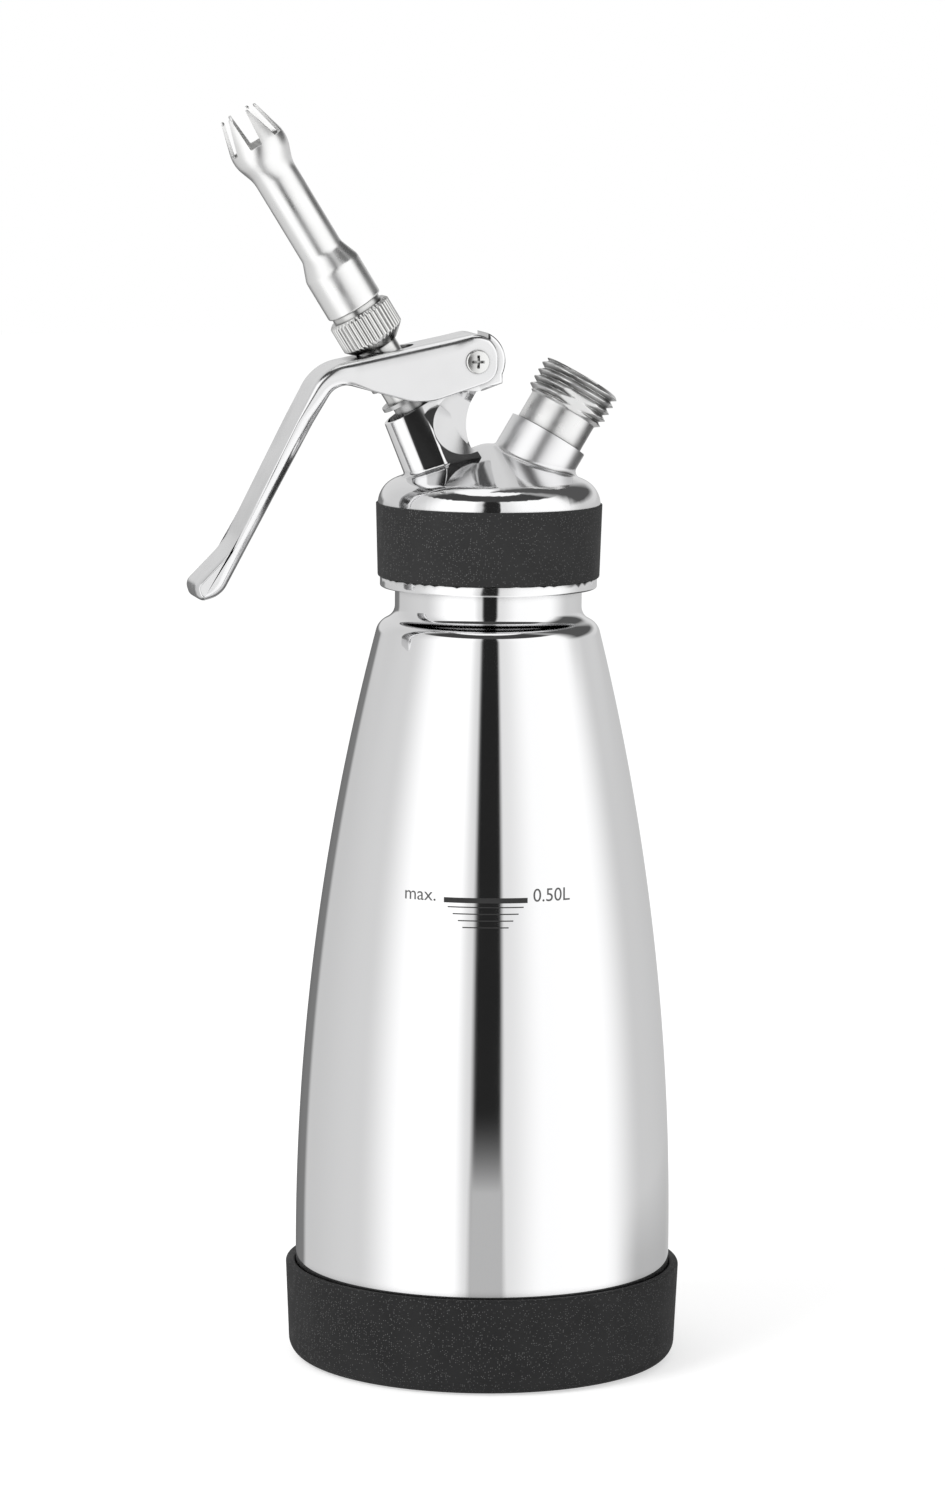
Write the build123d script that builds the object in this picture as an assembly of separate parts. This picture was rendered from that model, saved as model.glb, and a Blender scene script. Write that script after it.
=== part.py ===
from build123d import *
import math
import os

# Whipping siphon, in millimetres. The origin is the centre of the boot's underside and +Z runs up the
# flask's axis. The lever, the valve tower and the nozzle lean towards -X, the gas inlet towards +X.
# A corner of an outline is given as across, up and, where it is rounded, the radius of its round.

# Fits between pieces, and how far a cut runs past the faces that it opens
SEAT_FIT = 0.02
SLIDE_FIT = 0.05
CUT_PAST = 1.0
CUT_FAR = 40.0

# Flask
FLASK_FOOT_Z = 3.0
FLASK_RADIUS = 43.3
FLASK_WALL = 1.0
FLASK_CORNER = 7.3
PUNT_RADIUS = 33.0
PUNT_RISE = 3.5
SIDE_ARC_START_Z = 28.0
SIDE_ARC_RADIUS = 572.0
SIDE_ARC_END_Z = 166.2
SHOULDER_RUN = 4.6
SHOULDER_ROUND = 4.0
NECK_RADIUS = 21.4
NECK_FOOT_Z = 172.7
NECK_FOOT_ROUND = 3.4
NECK_THREAD_RADIUS = 22.4
NECK_THREAD_LOW_Z = 182.0
THREAD_RUNOUT = 0.8
RIM_Z = 191.0

# Boot
BOOT_FLOOR = 3.0
BOOT_FOOT_RADIUS = 44.6
BOOT_RIM_RADIUS = 45.6
BOOT_RIM_Z = 22.2
BOOT_FOOT_ROUND = 4.0
BOOT_RIM_ROUND = 0.7
BOOT_INNER_ROUND = 6.5
BOOT_FIT = 0.1

# Head
HEAD_BOTTOM_Z = 179.0
SKIRT_RING_RADIUS = 24.85
SKIRT_RING_TOP_Z = 181.4
SKIRT_RING_ROUND = 0.5
COLLAR_SEAT_RADIUS = 23.9
COLLAR_TOP_Z = 198.2
COLLAR_LOW_RADIUS = 25.4
COLLAR_HIGH_RADIUS = 25.9
COLLAR_LIP = 1.0
COLLAR_ROUND = 0.5
SHOULDER_RADIUS = 25.5
HEAD_ROUND = 6.3
TOP_SLOPE = 22.0
TOP_EDGE_Z = 202.16
CROWN_RADIUS = 1.6
CROWN_ROUND = 7.5
SKIRT_BORE_RADIUS = 22.7
GASKET_LEDGE_Z = 193.2
GASKET_BORE_RADIUS = 17.6
GASKET_RADIUS = 22.3
CAVITY_RADIUS = 17.5
CAVITY_EDGE_Z = 199.5
CAVITY_ROUND = 2.0
TOWER_BLEND = 1.0
BOSS_BLEND = 1.4
SEAM_TURN = 90.0

# Valve tower and stem: the tower stands square on the cone, and the stem leans further over.
TOWER_POINT = (-17.0, 0, 219.5)
TOWER_NOSE_REACH = 8.1
TOWER_NOSE_RADIUS = 5.2
TOWER_FLARE = 12.0
TOWER_DEPTH = 18.0
STEM_TILT = 32.0
STEM_POINT = (-26.84, 0, 235.41)
MOUTH = -17.4
MOUTH_REACH = 20.0
MOUTH_RADIUS = 7.2
MOUTH_WALL = 0.8
MOUTH_DEPTH = 2.0
POCKET_RADIUS = 4.9
POCKET_FLOOR = -26.5
POCKET_TOP = -14.0
STEM_RADIUS = 2.75
CHAMBER_RADIUS = 3.8
CHAMBER_TOP = -33.2
SEAT = -35.5
SEAT_BORE_RADIUS = 5.0
SEAT_BORE_END = -50.0
STEM_TOP = 6.0
STEM_THREAD_RADIUS = 4.2
PUSH_COLLAR_RADIUS = 5.2
PUSH_COLLAR_TOP = -6.2
CLIP_TOP = -9.2
CLIP_THICK = 0.8
CLIP_GROOVE = 0.9
CLIP_GROOVE_RADIUS = 4.0
WASHER_TOP = -14.2
WASHER_THICK = 0.9
WASHER_SEAT_RADIUS = 3.2
PLATE_LEFT_REACH = 6.8
PLATE_HALF_WIDTH = 5.2
CUP_RADIUS = 4.7
CUP_WALL = 0.5
CUP_TOP_WALL = 1.0
CUP_END = -22.0
STEM_BORE_RADIUS = 1.4
STEM_BORE_END = -35.2
CROSS_HOLE_RADIUS = 1.0
CROSS_HOLE = -34.3
O_RING_SECTION = 0.45
O_RING_GROOVE = 1.2
O_RING_UPPER = -29.2
O_RING_LOWER = -31.6
VALVE_SEAL_THICK = 1.8
VALVE_HEAD_RADIUS = 4.6
VALVE_HEAD_THICK = 2.5
VALVE_HEAD_CHAMFER = 1.0
SPRING_WIRE_RADIUS = 0.45
SPRING_RADIUS = 3.5
SPRING_TURNS = 5
SPRING_SAMPLES = 400

# Lever arm of the head, in the plane of the lever
PIVOT_X = -4.74
PIVOT_Z = 230.94
ARM_HALF_WIDTH = 6.0
ARM_FOOT_Z = 200.0
ARM_FRONT_X = -10.7
ARM_TOP_SLOPE = 22.0
ARM_BACK_LOW = (-4.2, 209.5)
ARM_BACK_WAIST = (-6.3, 217.4)
ARM_BACK_HIGH = (-4.0, 223.8)
ARM_ROUND = 0.8
BEVEL_RIDGE = 3.2
BEVEL_REACH = 7.2
BEVEL_TOP_Z = 224.2
KNUCKLE_RADIUS = 7.0
KNUCKLE_CORNER = (1.6, 225.9)
KNUCKLE_TOP = 3.8
KNUCKLE_STEP_X = -1.9
KNUCKLE_STEP_RISE = 0.2
KNUCKLE_DROP = 3.0

# Lever
LEVER_HALF_WIDTH = 7.5
CHEEK_THICK = 1.2
PLATE_THICK = 2.0
PLATE_SLOPE = 12.0
PLATE_HEIGHT = 6.3
PLATE_END_X = -2.6
CHEEK_END_X = 0.2
CHEEK_END_ROUND = 5.4
BEND = (-38.3, 230.2, 9.0)
HANDLE_BOW = (-50.7, 205.4, 160.0)
FLARE_OUTER = (-60.5, 189.2, 12.0)
TIP_OUTER = (-70.2, 180.3, 1.0)
TIP_INNER = (-68.7, 176.9, 1.2)
FLARE_INNER = (-62.9, 178.2, 5.0)
CHEEK_REAR = (-36.9, 226.4, 4.5)
CHEEK_BELLY = (-17.2, 221.2, 16.0)
CHEEK_FRONT = (0.2, 226.9, 4.6)
CHANNEL_LEFT_X = -34.0
CHANNEL_LEFT_LEAN = 2.2
CHANNEL_KNEE_Z = 222.0
CHANNEL_ROUND = 3.0
LEVER_EDGE_ROUND = 0.8
SLOT_LEFT_X = -31.2
SLOT_RIGHT_X = -18.1
SLOT_HALF_WIDTH = 4.6

# Hinge pin of the lever
PIN_RADIUS = 2.0
PIN_RUNNING_FIT = 0.06
PIN_BORE_RADIUS = 1.25
PIN_HEAD_RADIUS = 2.7
PIN_HEAD_THICK = 0.7
PIN_HEAD_ROUND = 0.4
SCREW_LENGTH = 9.0
SCREW_END_ROOM = 1.0

# Knurled adaptor and nozzle, along the stem from the point where the adaptor would meet the lever
ADAPTOR_LOW = 0.5
ADAPTOR_HIGH = 7.9
ADAPTOR_RADIUS = 7.5
ADAPTOR_EDGE = 0.7
ADAPTOR_CONE_RADIUS = 4.7
ADAPTOR_CONE_HEIGHT = 1.9
KNURL_RIBS = 40
KNURL_DEPTH = 0.4
ADAPTOR_NECK_RADIUS = 6.0
NOZZLE_LOW = 9.2
ADAPTOR_THREAD_RADIUS = 5.0
ADAPTOR_TOP = 15.5
ADAPTOR_BORE_RADIUS = 2.0
TIP_SEAL_THICK = 1.0
TIP_SEAL_BORE_RADIUS = 2.2
NOZZLE_FIT = 0.1
NOZZLE_SOCKET_RADIUS = 6.7
NOZZLE_SOCKET_TOP = 19.3
NOZZLE_TUBE_START = 23.6
NOZZLE_TUBE_RADIUS = 5.05
NOZZLE_BORE_RADIUS = 3.9
NOZZLE_RIM_ROUND = 0.5
NOZZLE_STEP_ROUND = 3.0
BULB_START = 45.0
BULB_BORE_START = 45.4
BULB_BORE_ROUND = 4.0
BULB_Z = 50.6
BULB_CORNER_RADIUS = 7.1
BULB_WALL = 0.75
BULB_ROUND = 8.0
TIP_Z = 60.3
TIP_RADIUS = 4.4
TIP_EDGE_ROUND = 0.3
SLOT_COUNT = 6
TIP_SLOT_FLOOR = 52.2
TIP_SLOT_LOW_WIDTH = 2.9
TIP_SLOT_HIGH_WIDTH = 3.9
SLOT_TURN = -12.0
TIP_SLOT_ROUND = 0.3

# Gas inlet, along its own axis from the boss's top
INLET_POINT = (13.8, 0, 213.8)
INLET_TILT = 30.7
BOSS_RADIUS = 9.45
BOSS_DEPTH = 14.0
SHANK_RADIUS = 6.45
SHANK_END = -8.5
INLET_SEAL_FLOOR = -9.5
GAS_WAY_RADIUS = 1.8
GAS_WAY_END = -22.0
FITTING_NECK_RADIUS = 8.15
FITTING_FOOT_ROUND = 0.3
THREAD_START = 6.25
THREAD_LOW = 7.15
THREAD_HIGH = 15.2
THREAD_RADIUS = 9.6
THREAD_RUNOUT_RADIUS = 9.2
THREAD_CHAMFER = 0.8
FLAT_DISTANCE = 8.4
FLAT_LOW = 5.85
FLAT_HEIGHT = 5.0
SOCKET_RADIUS = 6.0
SOCKET_FLOOR = 10.2
SEAL_STEP_RADIUS = 5.0
SEAL_STEP_FLOOR = 6.0
NEEDLE_SEAT_RADIUS = 2.5
NEEDLE_SEAT_FLOOR = 3.0
NEEDLE_TIP = 9.6
NEEDLE_RADIUS = 1.5
NEEDLE_TAPER_START = 7.5
NEEDLE_TIP_RADIUS = 0.75
NEEDLE_BORE_RADIUS = 0.5
CHARGER_SEAL_BORE_RADIUS = 2.6
CHARGER_SEAL_THICK = 1.6
FITTING_WAY_RADIUS = 1.3
CHECK_BORE_RADIUS = 3.2
CHECK_BORE_TOP = -4.0
CHECK_SLEEVE_END = -7.9
CHECK_SLEEVE_RADIUS = 2.2
CHECK_SLEEVE_BORE_RADIUS = 0.9
CHECK_FLANGE_THICK = 1.0


def leaning_plane(point, tilt):
    """A plane at point whose Z axis leans from straight up by tilt degrees, towards +X if positive."""
    lean = math.radians(tilt)
    across = (math.cos(lean), 0, -math.sin(lean))
    along = (math.sin(lean), 0, math.cos(lean))
    return Plane(origin=point, x_dir=across, z_dir=along)


TOWER = leaning_plane(TOWER_POINT, -TOP_SLOPE)
STEM = leaning_plane(STEM_POINT, -STEM_TILT)
INLET = leaning_plane(INLET_POINT, INLET_TILT)


def outline(corners):
    """A closed outline through corners, with an arc at each corner that has a round."""
    points = [corner[:2] for corner in corners]
    rounds = [sum(corner[2:]) for corner in corners]
    return FilletPolyline(*points, radius=rounds, close=True)


def turned(corners):
    """A solid of revolution about Z from a closed outline of radius and height."""
    return revolve(make_face(Plane.XZ * outline(corners)), Axis.Z)


def ring(inner, outer, low, high):
    """A plain ring about Z."""
    return turned([(inner, low), (outer, low), (outer, high), (inner, high)])


def rod(radius, low, high):
    """A plain cylinder about Z."""
    return Pos(0, 0, (low + high) / 2) * Cylinder(radius, high - low)


def cross_rod(radius, low, high):
    """A cylinder along Y through the lever's pivot, from Y = low to Y = high."""
    return Pos(PIVOT_X, 0, PIVOT_Z) * Rot(-90, 0, 0) * rod(radius, low, high)


def side_slab(face_outline, half_width):
    """An outline in the lever's plane, made solid to half_width on either side of it."""
    return extrude(make_face(Plane.XZ * face_outline), half_width, both=True)


def inset_corner(corner, normal_a, normal_b, inset):
    """Where two lines that meet at corner would meet if both moved inwards, against their normals."""
    share = inset / (1 + normal_a.dot(normal_b))
    moved = Vector(*corner) - (normal_a + normal_b) * share
    return (moved.X, moved.Y)


def flask_blank(inset):
    """The flask's form as one solid, with every wall set in by inset."""
    arc_angle = math.asin((SIDE_ARC_END_Z - SIDE_ARC_START_Z) / SIDE_ARC_RADIUS)
    arc_centre_radius = FLASK_RADIUS - SIDE_ARC_RADIUS
    arc_normal = Vector(math.cos(arc_angle), math.sin(arc_angle))
    arc_side = Vector(-math.sin(arc_angle), math.cos(arc_angle))
    arc_centre = Vector(arc_centre_radius, SIDE_ARC_START_Z)
    arc_end = arc_centre + arc_normal * (SIDE_ARC_RADIUS - inset)
    shoulder = arc_centre + arc_normal * SIDE_ARC_RADIUS + arc_side * SHOULDER_RUN
    slope = (Vector(NECK_RADIUS, NECK_FOOT_Z) - shoulder).normalized()
    slope_normal = Vector(slope.Y, -slope.X)
    shoulder_corner = inset_corner((shoulder.X, shoulder.Y), arc_normal, slope_normal, inset)
    neck_corner = inset_corner((NECK_RADIUS, NECK_FOOT_Z), slope_normal, Vector(1, 0), inset)
    foot_z = FLASK_FOOT_Z + inset
    wall_radius = FLASK_RADIUS - inset
    neck_radius = NECK_RADIUS - inset
    foot_edge = (FLASK_RADIUS - FLASK_CORNER, foot_z)
    corner_top = (wall_radius, FLASK_FOOT_Z + FLASK_CORNER)
    punt_top = (0, foot_z + PUNT_RISE)
    half = [
        TangentArc(punt_top, (PUNT_RADIUS, foot_z), tangent=(1, 0)),
        Line((PUNT_RADIUS, foot_z), foot_edge),
        TangentArc(foot_edge, corner_top, tangent=(1, 0)),
        Line(corner_top, (wall_radius, SIDE_ARC_START_Z)),
        TangentArc((wall_radius, SIDE_ARC_START_Z), (arc_end.X, arc_end.Y), tangent=(0, 1)),
        FilletPolyline(
            (arc_end.X, arc_end.Y),
            shoulder_corner,
            neck_corner,
            (neck_radius, RIM_Z),
            radius=[SHOULDER_ROUND - inset, NECK_FOOT_ROUND + inset],
        ),
        Line((neck_radius, RIM_Z), (0, RIM_Z)),
        Line((0, RIM_Z), punt_top),
    ]
    edges = [edge for piece in half for edge in piece.edges()]
    return revolve(make_face(Plane.XZ * Curve(edges)), Axis.Z)


def flask():
    """The bottle: punted foot, long arched side and neck of even wall, with a rolled thread."""
    thread = turned(
        [
            (NECK_RADIUS - FLASK_WALL / 2, NECK_THREAD_LOW_Z),
            (NECK_RADIUS, NECK_THREAD_LOW_Z),
            (NECK_THREAD_RADIUS, NECK_THREAD_LOW_Z + THREAD_RUNOUT),
            (NECK_THREAD_RADIUS, RIM_Z - 2 * THREAD_RUNOUT),
            (NECK_RADIUS, RIM_Z - THREAD_RUNOUT),
            (NECK_RADIUS - FLASK_WALL / 2, RIM_Z - THREAD_RUNOUT),
        ]
    )
    return flask_blank(0) - flask_blank(FLASK_WALL) + thread


def base_boot():
    """The silicone cup under the flask, a little wider at its rim."""
    inner = FLASK_RADIUS + BOOT_FIT
    corners = [
        (0, 0),
        (BOOT_FOOT_RADIUS, 0, BOOT_FOOT_ROUND),
        (BOOT_RIM_RADIUS, BOOT_RIM_Z, BOOT_RIM_ROUND),
        (inner, BOOT_RIM_Z, BOOT_RIM_ROUND),
        (inner, BOOT_FLOOR, BOOT_INNER_ROUND),
        (0, BOOT_FLOOR),
    ]
    return turned(corners)


def head_blank():
    """The head's skirt and conical top, before anything stands on it or is bored in it."""
    slope = math.tan(math.radians(TOP_SLOPE))
    crown_z = TOP_EDGE_Z + (SHOULDER_RADIUS - CROWN_RADIUS) * slope
    corners = [
        (0, HEAD_BOTTOM_Z),
        (SKIRT_RING_RADIUS, HEAD_BOTTOM_Z, SKIRT_RING_ROUND),
        (SKIRT_RING_RADIUS, SKIRT_RING_TOP_Z),
        (COLLAR_SEAT_RADIUS, SKIRT_RING_TOP_Z),
        (COLLAR_SEAT_RADIUS, COLLAR_TOP_Z - COLLAR_LIP),
        (SHOULDER_RADIUS, COLLAR_TOP_Z - COLLAR_LIP),
        (SHOULDER_RADIUS, TOP_EDGE_Z, HEAD_ROUND),
        (CROWN_RADIUS, crown_z, CROWN_ROUND),
        (0, crown_z),
    ]
    return turned(corners)


def tower_prism(inset):
    """The tower's prism, set in by inset: a round nose whose flanks spread to the arm's width."""
    flare = math.radians(TOWER_FLARE)
    nose = TOWER_NOSE_RADIUS - inset
    half_width = ARM_HALF_WIDTH - inset
    nose_x = TOWER_NOSE_RADIUS - TOWER_NOSE_REACH
    flank_x = nose_x - nose * math.sin(flare)
    flank_y = nose * math.cos(flare)
    wide_x = flank_x + (half_width - flank_y) / math.tan(flare)
    plan = [
        Polyline((flank_x, flank_y), (wide_x, half_width), (CUT_FAR, half_width)),
        Line((CUT_FAR, half_width), (CUT_FAR, -half_width)),
        Polyline((CUT_FAR, -half_width), (wide_x, -half_width), (flank_x, -flank_y)),
        ThreePointArc((flank_x, -flank_y), (nose_x - nose, 0), (flank_x, flank_y)),
    ]
    plan_face = make_face(Curve([edge for piece in plan for edge in piece.edges()]))
    return TOWER * Pos(0, 0, -TOWER_DEPTH) * extrude(plan_face, TOWER_DEPTH + CUT_FAR)


def stem_place(across, along):
    """X and Z of a point in the lever's plane, given across and along the stem."""
    point = STEM.from_local_coords(Vector(across, 0, along))
    return (point.X, point.Z)


def arm_hollow():
    """The hollow of the arm's back, as an arc of X and Z."""
    return ThreePointArc(ARM_BACK_HIGH, ARM_BACK_WAIST, ARM_BACK_LOW)


def hollow_bevel(side):
    """A cone round the hollow's own axis that bevels one rim of it, up to the knuckle."""
    hollow = arm_hollow()
    height = ARM_HALF_WIDTH - BEVEL_RIDGE + CUT_PAST
    spread = height * BEVEL_REACH / (ARM_HALF_WIDTH - BEVEL_RIDGE)
    start = (hollow.arc_center.X, side * BEVEL_RIDGE, hollow.arc_center.Y)
    cone = Cone(hollow.radius, hollow.radius + spread, height, align=(Align.CENTER, Align.CENTER, Align.MIN))
    under = Box(CUT_FAR, CUT_FAR, CUT_FAR, align=(Align.MAX, Align.CENTER, Align.MAX))
    return Plane(origin=start, z_dir=(0, side, 0)) * cone & Pos(hollow.arc_center.X, 0, BEVEL_TOP_Z) * under


def tower_and_arm():
    """The valve tower and, behind it in one form, the arm with the lever's knuckle at its top."""
    plate_lean = math.radians(PLATE_SLOPE)
    top_x = PIVOT_X - KNUCKLE_TOP * math.sin(plate_lean)
    top_z = PIVOT_Z + KNUCKLE_TOP * math.cos(plate_lean)
    front_top_z = top_z - (top_x - ARM_FRONT_X) * math.tan(math.radians(ARM_TOP_SLOPE))
    mouth_left = stem_place(-MOUTH_REACH, MOUTH)
    mouth_middle = stem_place(0, MOUTH)
    mouth_front_z = mouth_middle[1] + (ARM_FRONT_X - mouth_middle[0]) * math.tan(math.radians(STEM_TILT))
    step_low = (KNUCKLE_STEP_X, top_z + KNUCKLE_STEP_RISE)
    step_rise = math.sqrt(KNUCKLE_RADIUS**2 - (KNUCKLE_STEP_X - PIVOT_X) ** 2)
    step_high = (KNUCKLE_STEP_X, PIVOT_Z + step_rise)
    knuckle_reach = math.sqrt(KNUCKLE_RADIUS**2 - KNUCKLE_DROP**2)
    knuckle_low = (PIVOT_X + knuckle_reach, PIVOT_Z - KNUCKLE_DROP)
    side = [
        Polyline(
            (mouth_left[0], ARM_FOOT_Z),
            mouth_left,
            (ARM_FRONT_X, mouth_front_z),
            (ARM_FRONT_X, front_top_z),
            (top_x, top_z),
            step_low,
            step_high,
        ),
        ThreePointArc(step_high, (PIVOT_X + KNUCKLE_RADIUS, PIVOT_Z), knuckle_low),
        Polyline(knuckle_low, KNUCKLE_CORNER, ARM_BACK_HIGH),
        arm_hollow(),
        Polyline(ARM_BACK_LOW, (ARM_BACK_LOW[0], ARM_FOOT_Z), (mouth_left[0], ARM_FOOT_Z)),
    ]
    side_edges = Curve([edge for piece in side for edge in piece.edges()])
    form = side_slab(side_edges, ARM_HALF_WIDTH + CUT_PAST) & tower_prism(0)
    rims = form.edges().filter_by(lambda edge: abs(edge.center().Y) > ARM_HALF_WIDTH - SLIDE_FIT)
    back_rims = rims.filter_by(lambda edge: edge.center().X > ARM_BACK_WAIST[0])
    rounded = fillet(back_rims.filter_by(lambda edge: edge.center().Z > ARM_BACK_LOW[1]), ARM_ROUND)
    return rounded - hollow_bevel(1) - hollow_bevel(-1)


def with_blended_foot(body, post, radius):
    """A post joined to a body, with a round blend where it stands."""
    joined = body + post
    return fillet(new_edges(body, post, combined=joined), radius)


def head_body():
    """The casting: cone, tower, arm and inlet boss, bored for the flask, the valve and the gas inlet."""
    boss = INLET * Rot(0, 0, SEAM_TURN) * rod(BOSS_RADIUS, -BOSS_DEPTH, 0)
    blank = Rot(0, 0, SEAM_TURN) * head_blank()
    body = with_blended_foot(blank, tower_and_arm(), TOWER_BLEND)
    body = with_blended_foot(body, boss, BOSS_BLEND)
    slope = math.tan(math.radians(TOP_SLOPE))
    cavity = turned(
        [
            (0, HEAD_BOTTOM_Z - CUT_PAST),
            (SKIRT_BORE_RADIUS, HEAD_BOTTOM_Z - CUT_PAST),
            (SKIRT_BORE_RADIUS, GASKET_LEDGE_Z),
            (CAVITY_RADIUS, GASKET_LEDGE_Z),
            (CAVITY_RADIUS, CAVITY_EDGE_Z, CAVITY_ROUND),
            (0, CAVITY_EDGE_Z + CAVITY_RADIUS * slope),
        ]
    )
    mouth = tower_prism(MOUTH_WALL) & STEM * rod(MOUTH_RADIUS, MOUTH - MOUTH_DEPTH, MOUTH + CUT_PAST)
    valve_way = STEM * (
        rod(POCKET_RADIUS, POCKET_FLOOR, POCKET_TOP)
        + rod(STEM_RADIUS + SLIDE_FIT, SEAT, POCKET_FLOOR)
        + rod(CHAMBER_RADIUS, SEAT, CHAMBER_TOP)
        + rod(SEAT_BORE_RADIUS, SEAT_BORE_END, SEAT)
    )
    gas_way = INLET * (
        rod(SHANK_RADIUS + SLIDE_FIT, INLET_SEAL_FLOOR, CUT_PAST)
        + rod(GAS_WAY_RADIUS, GAS_WAY_END, INLET_SEAL_FLOOR)
    )
    hinge = cross_rod(PIN_RADIUS + PIN_RUNNING_FIT, -CUT_FAR, CUT_FAR)
    return body - cavity - mouth - valve_way - gas_way - hinge


def collar_grip():
    """The silicone sleeve round the head, slightly wider at its top."""
    inner = COLLAR_SEAT_RADIUS + SEAT_FIT
    lip = SHOULDER_RADIUS + SEAT_FIT
    return turned(
        [
            (inner, SKIRT_RING_TOP_Z),
            (COLLAR_LOW_RADIUS, SKIRT_RING_TOP_Z, COLLAR_ROUND),
            (COLLAR_HIGH_RADIUS, COLLAR_TOP_Z),
            (lip, COLLAR_TOP_Z),
            (lip, COLLAR_TOP_Z - COLLAR_LIP),
            (inner, COLLAR_TOP_Z - COLLAR_LIP),
        ]
    )


def head_gasket():
    """The flat seal on the flask's rim."""
    return ring(GASKET_BORE_RADIUS, GASKET_RADIUS, RIM_Z + SEAT_FIT, GASKET_LEDGE_Z - SEAT_FIT)


def plate_top_z(x):
    """Height of the lever's flat top at x."""
    lean = math.radians(PLATE_SLOPE)
    foot_x = PIVOT_X - PLATE_HEIGHT * math.sin(lean)
    foot_z = PIVOT_Z + PLATE_HEIGHT * math.cos(lean)
    return foot_z + (x - foot_x) * math.tan(lean)


def lever():
    """The pressed lever: two cheeks under a slotted plate, running on into the handle."""
    side = outline(
        [
            CHEEK_FRONT,
            (CHEEK_END_X, plate_top_z(CHEEK_END_X), CHEEK_END_ROUND),
            BEND,
            HANDLE_BOW,
            FLARE_OUTER,
            TIP_OUTER,
            TIP_INNER,
            FLARE_INNER,
            CHEEK_REAR,
            CHEEK_BELLY,
        ]
    )
    blank = side_slab(side, LEVER_HALF_WIDTH)
    rims = blank.edges().filter_by(lambda edge: abs(edge.center().Y) > LEVER_HALF_WIDTH - SLIDE_FIT)
    blank = fillet(rims, LEVER_EDGE_ROUND)
    drop = PLATE_THICK / math.cos(math.radians(PLATE_SLOPE))
    channel_low_x = CHANNEL_LEFT_X - CHANNEL_LEFT_LEAN
    channel = side_slab(
        outline(
            [
                (PLATE_END_X, PIVOT_Z + CUT_FAR),
                (PLATE_END_X, plate_top_z(PLATE_END_X) - drop),
                (CHANNEL_LEFT_X, plate_top_z(CHANNEL_LEFT_X) - drop, CHANNEL_ROUND),
                (channel_low_x, CHANNEL_KNEE_Z),
                (channel_low_x, PIVOT_Z - CUT_FAR),
                (PIVOT_X + CUT_FAR, PIVOT_Z - CUT_FAR),
                (PIVOT_X + CUT_FAR, PIVOT_Z + CUT_FAR),
            ]
        ),
        LEVER_HALF_WIDTH - CHEEK_THICK,
    )
    slot_middle = (SLOT_LEFT_X + SLOT_RIGHT_X) / 2
    slot_length = (SLOT_RIGHT_X - SLOT_LEFT_X) / math.cos(math.radians(PLATE_SLOPE))
    slot_plane = leaning_plane((slot_middle, 0, plate_top_z(slot_middle)), -PLATE_SLOPE)
    slot_outline = SlotOverall(slot_length, 2 * SLOT_HALF_WIDTH)
    slot = slot_plane * extrude(slot_outline, 2 * PLATE_THICK, both=True)
    hinge = cross_rod(PIN_RADIUS + SEAT_FIT, -CUT_FAR, CUT_FAR)
    return blank - channel - slot - hinge


def pivot_barrel():
    """The hinge pin: a sleeve with a round head at the back, open to the screw at the front."""
    tail = -LEVER_HALF_WIDTH + SLIDE_FIT
    shaft = cross_rod(PIN_RADIUS, tail, LEVER_HALF_WIDTH)
    head = cross_rod(PIN_HEAD_RADIUS, LEVER_HALF_WIDTH, LEVER_HALF_WIDTH + PIN_HEAD_THICK)
    rim = head.edges().sort_by(Axis.Y)[-1]
    screw_way = cross_rod(PIN_BORE_RADIUS, tail - CUT_PAST, tail + SCREW_LENGTH + SCREW_END_ROOM)
    return shaft + fillet(rim, PIN_HEAD_ROUND) - screw_way


def pivot_screw():
    """The screw that closes the hinge pin at the front."""
    face = -LEVER_HALF_WIDTH
    head = cross_rod(PIN_HEAD_RADIUS, face - PIN_HEAD_THICK, face)
    rim = head.edges().sort_by(Axis.Y)[0]
    shank = cross_rod(PIN_BORE_RADIUS - SEAT_FIT, face, face + SCREW_LENGTH)
    return fillet(rim, PIN_HEAD_ROUND) + shank


def valve_stem():
    """The hollow stem: thread, push collar with its clip groove, guided shank and valve head."""
    groove_radius = STEM_RADIUS - 2 * O_RING_SECTION - SEAT_FIT
    clip_low = CLIP_TOP - CLIP_GROOVE
    seal_low = SEAT - VALVE_SEAL_THICK
    head_low = seal_low - VALVE_HEAD_THICK
    body = turned(
        [
            (0, head_low),
            (VALVE_HEAD_RADIUS - VALVE_HEAD_CHAMFER, head_low),
            (VALVE_HEAD_RADIUS, head_low + VALVE_HEAD_CHAMFER),
            (VALVE_HEAD_RADIUS, seal_low),
            (STEM_RADIUS, seal_low),
            (STEM_RADIUS, WASHER_TOP - WASHER_THICK),
            (WASHER_SEAT_RADIUS, WASHER_TOP - WASHER_THICK),
            (WASHER_SEAT_RADIUS, WASHER_TOP),
            (PUSH_COLLAR_RADIUS, WASHER_TOP),
            (PUSH_COLLAR_RADIUS, clip_low),
            (CLIP_GROOVE_RADIUS, clip_low),
            (CLIP_GROOVE_RADIUS, CLIP_TOP),
            (PUSH_COLLAR_RADIUS, CLIP_TOP),
            (PUSH_COLLAR_RADIUS, PUSH_COLLAR_TOP),
            (STEM_THREAD_RADIUS, PUSH_COLLAR_TOP),
            (STEM_THREAD_RADIUS, STEM_TOP),
            (0, STEM_TOP),
        ]
    )
    for middle in (O_RING_UPPER, O_RING_LOWER):
        half = O_RING_GROOVE / 2
        body -= ring(groove_radius, STEM_RADIUS + CUT_PAST, middle - half, middle + half)
    body -= rod(STEM_BORE_RADIUS, STEM_BORE_END, STEM_TOP + CUT_PAST)
    body -= Pos(0, 0, CROSS_HOLE) * Rot(0, 90, 0) * Cylinder(CROSS_HOLE_RADIUS, 4 * STEM_RADIUS)
    return STEM * body


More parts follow.
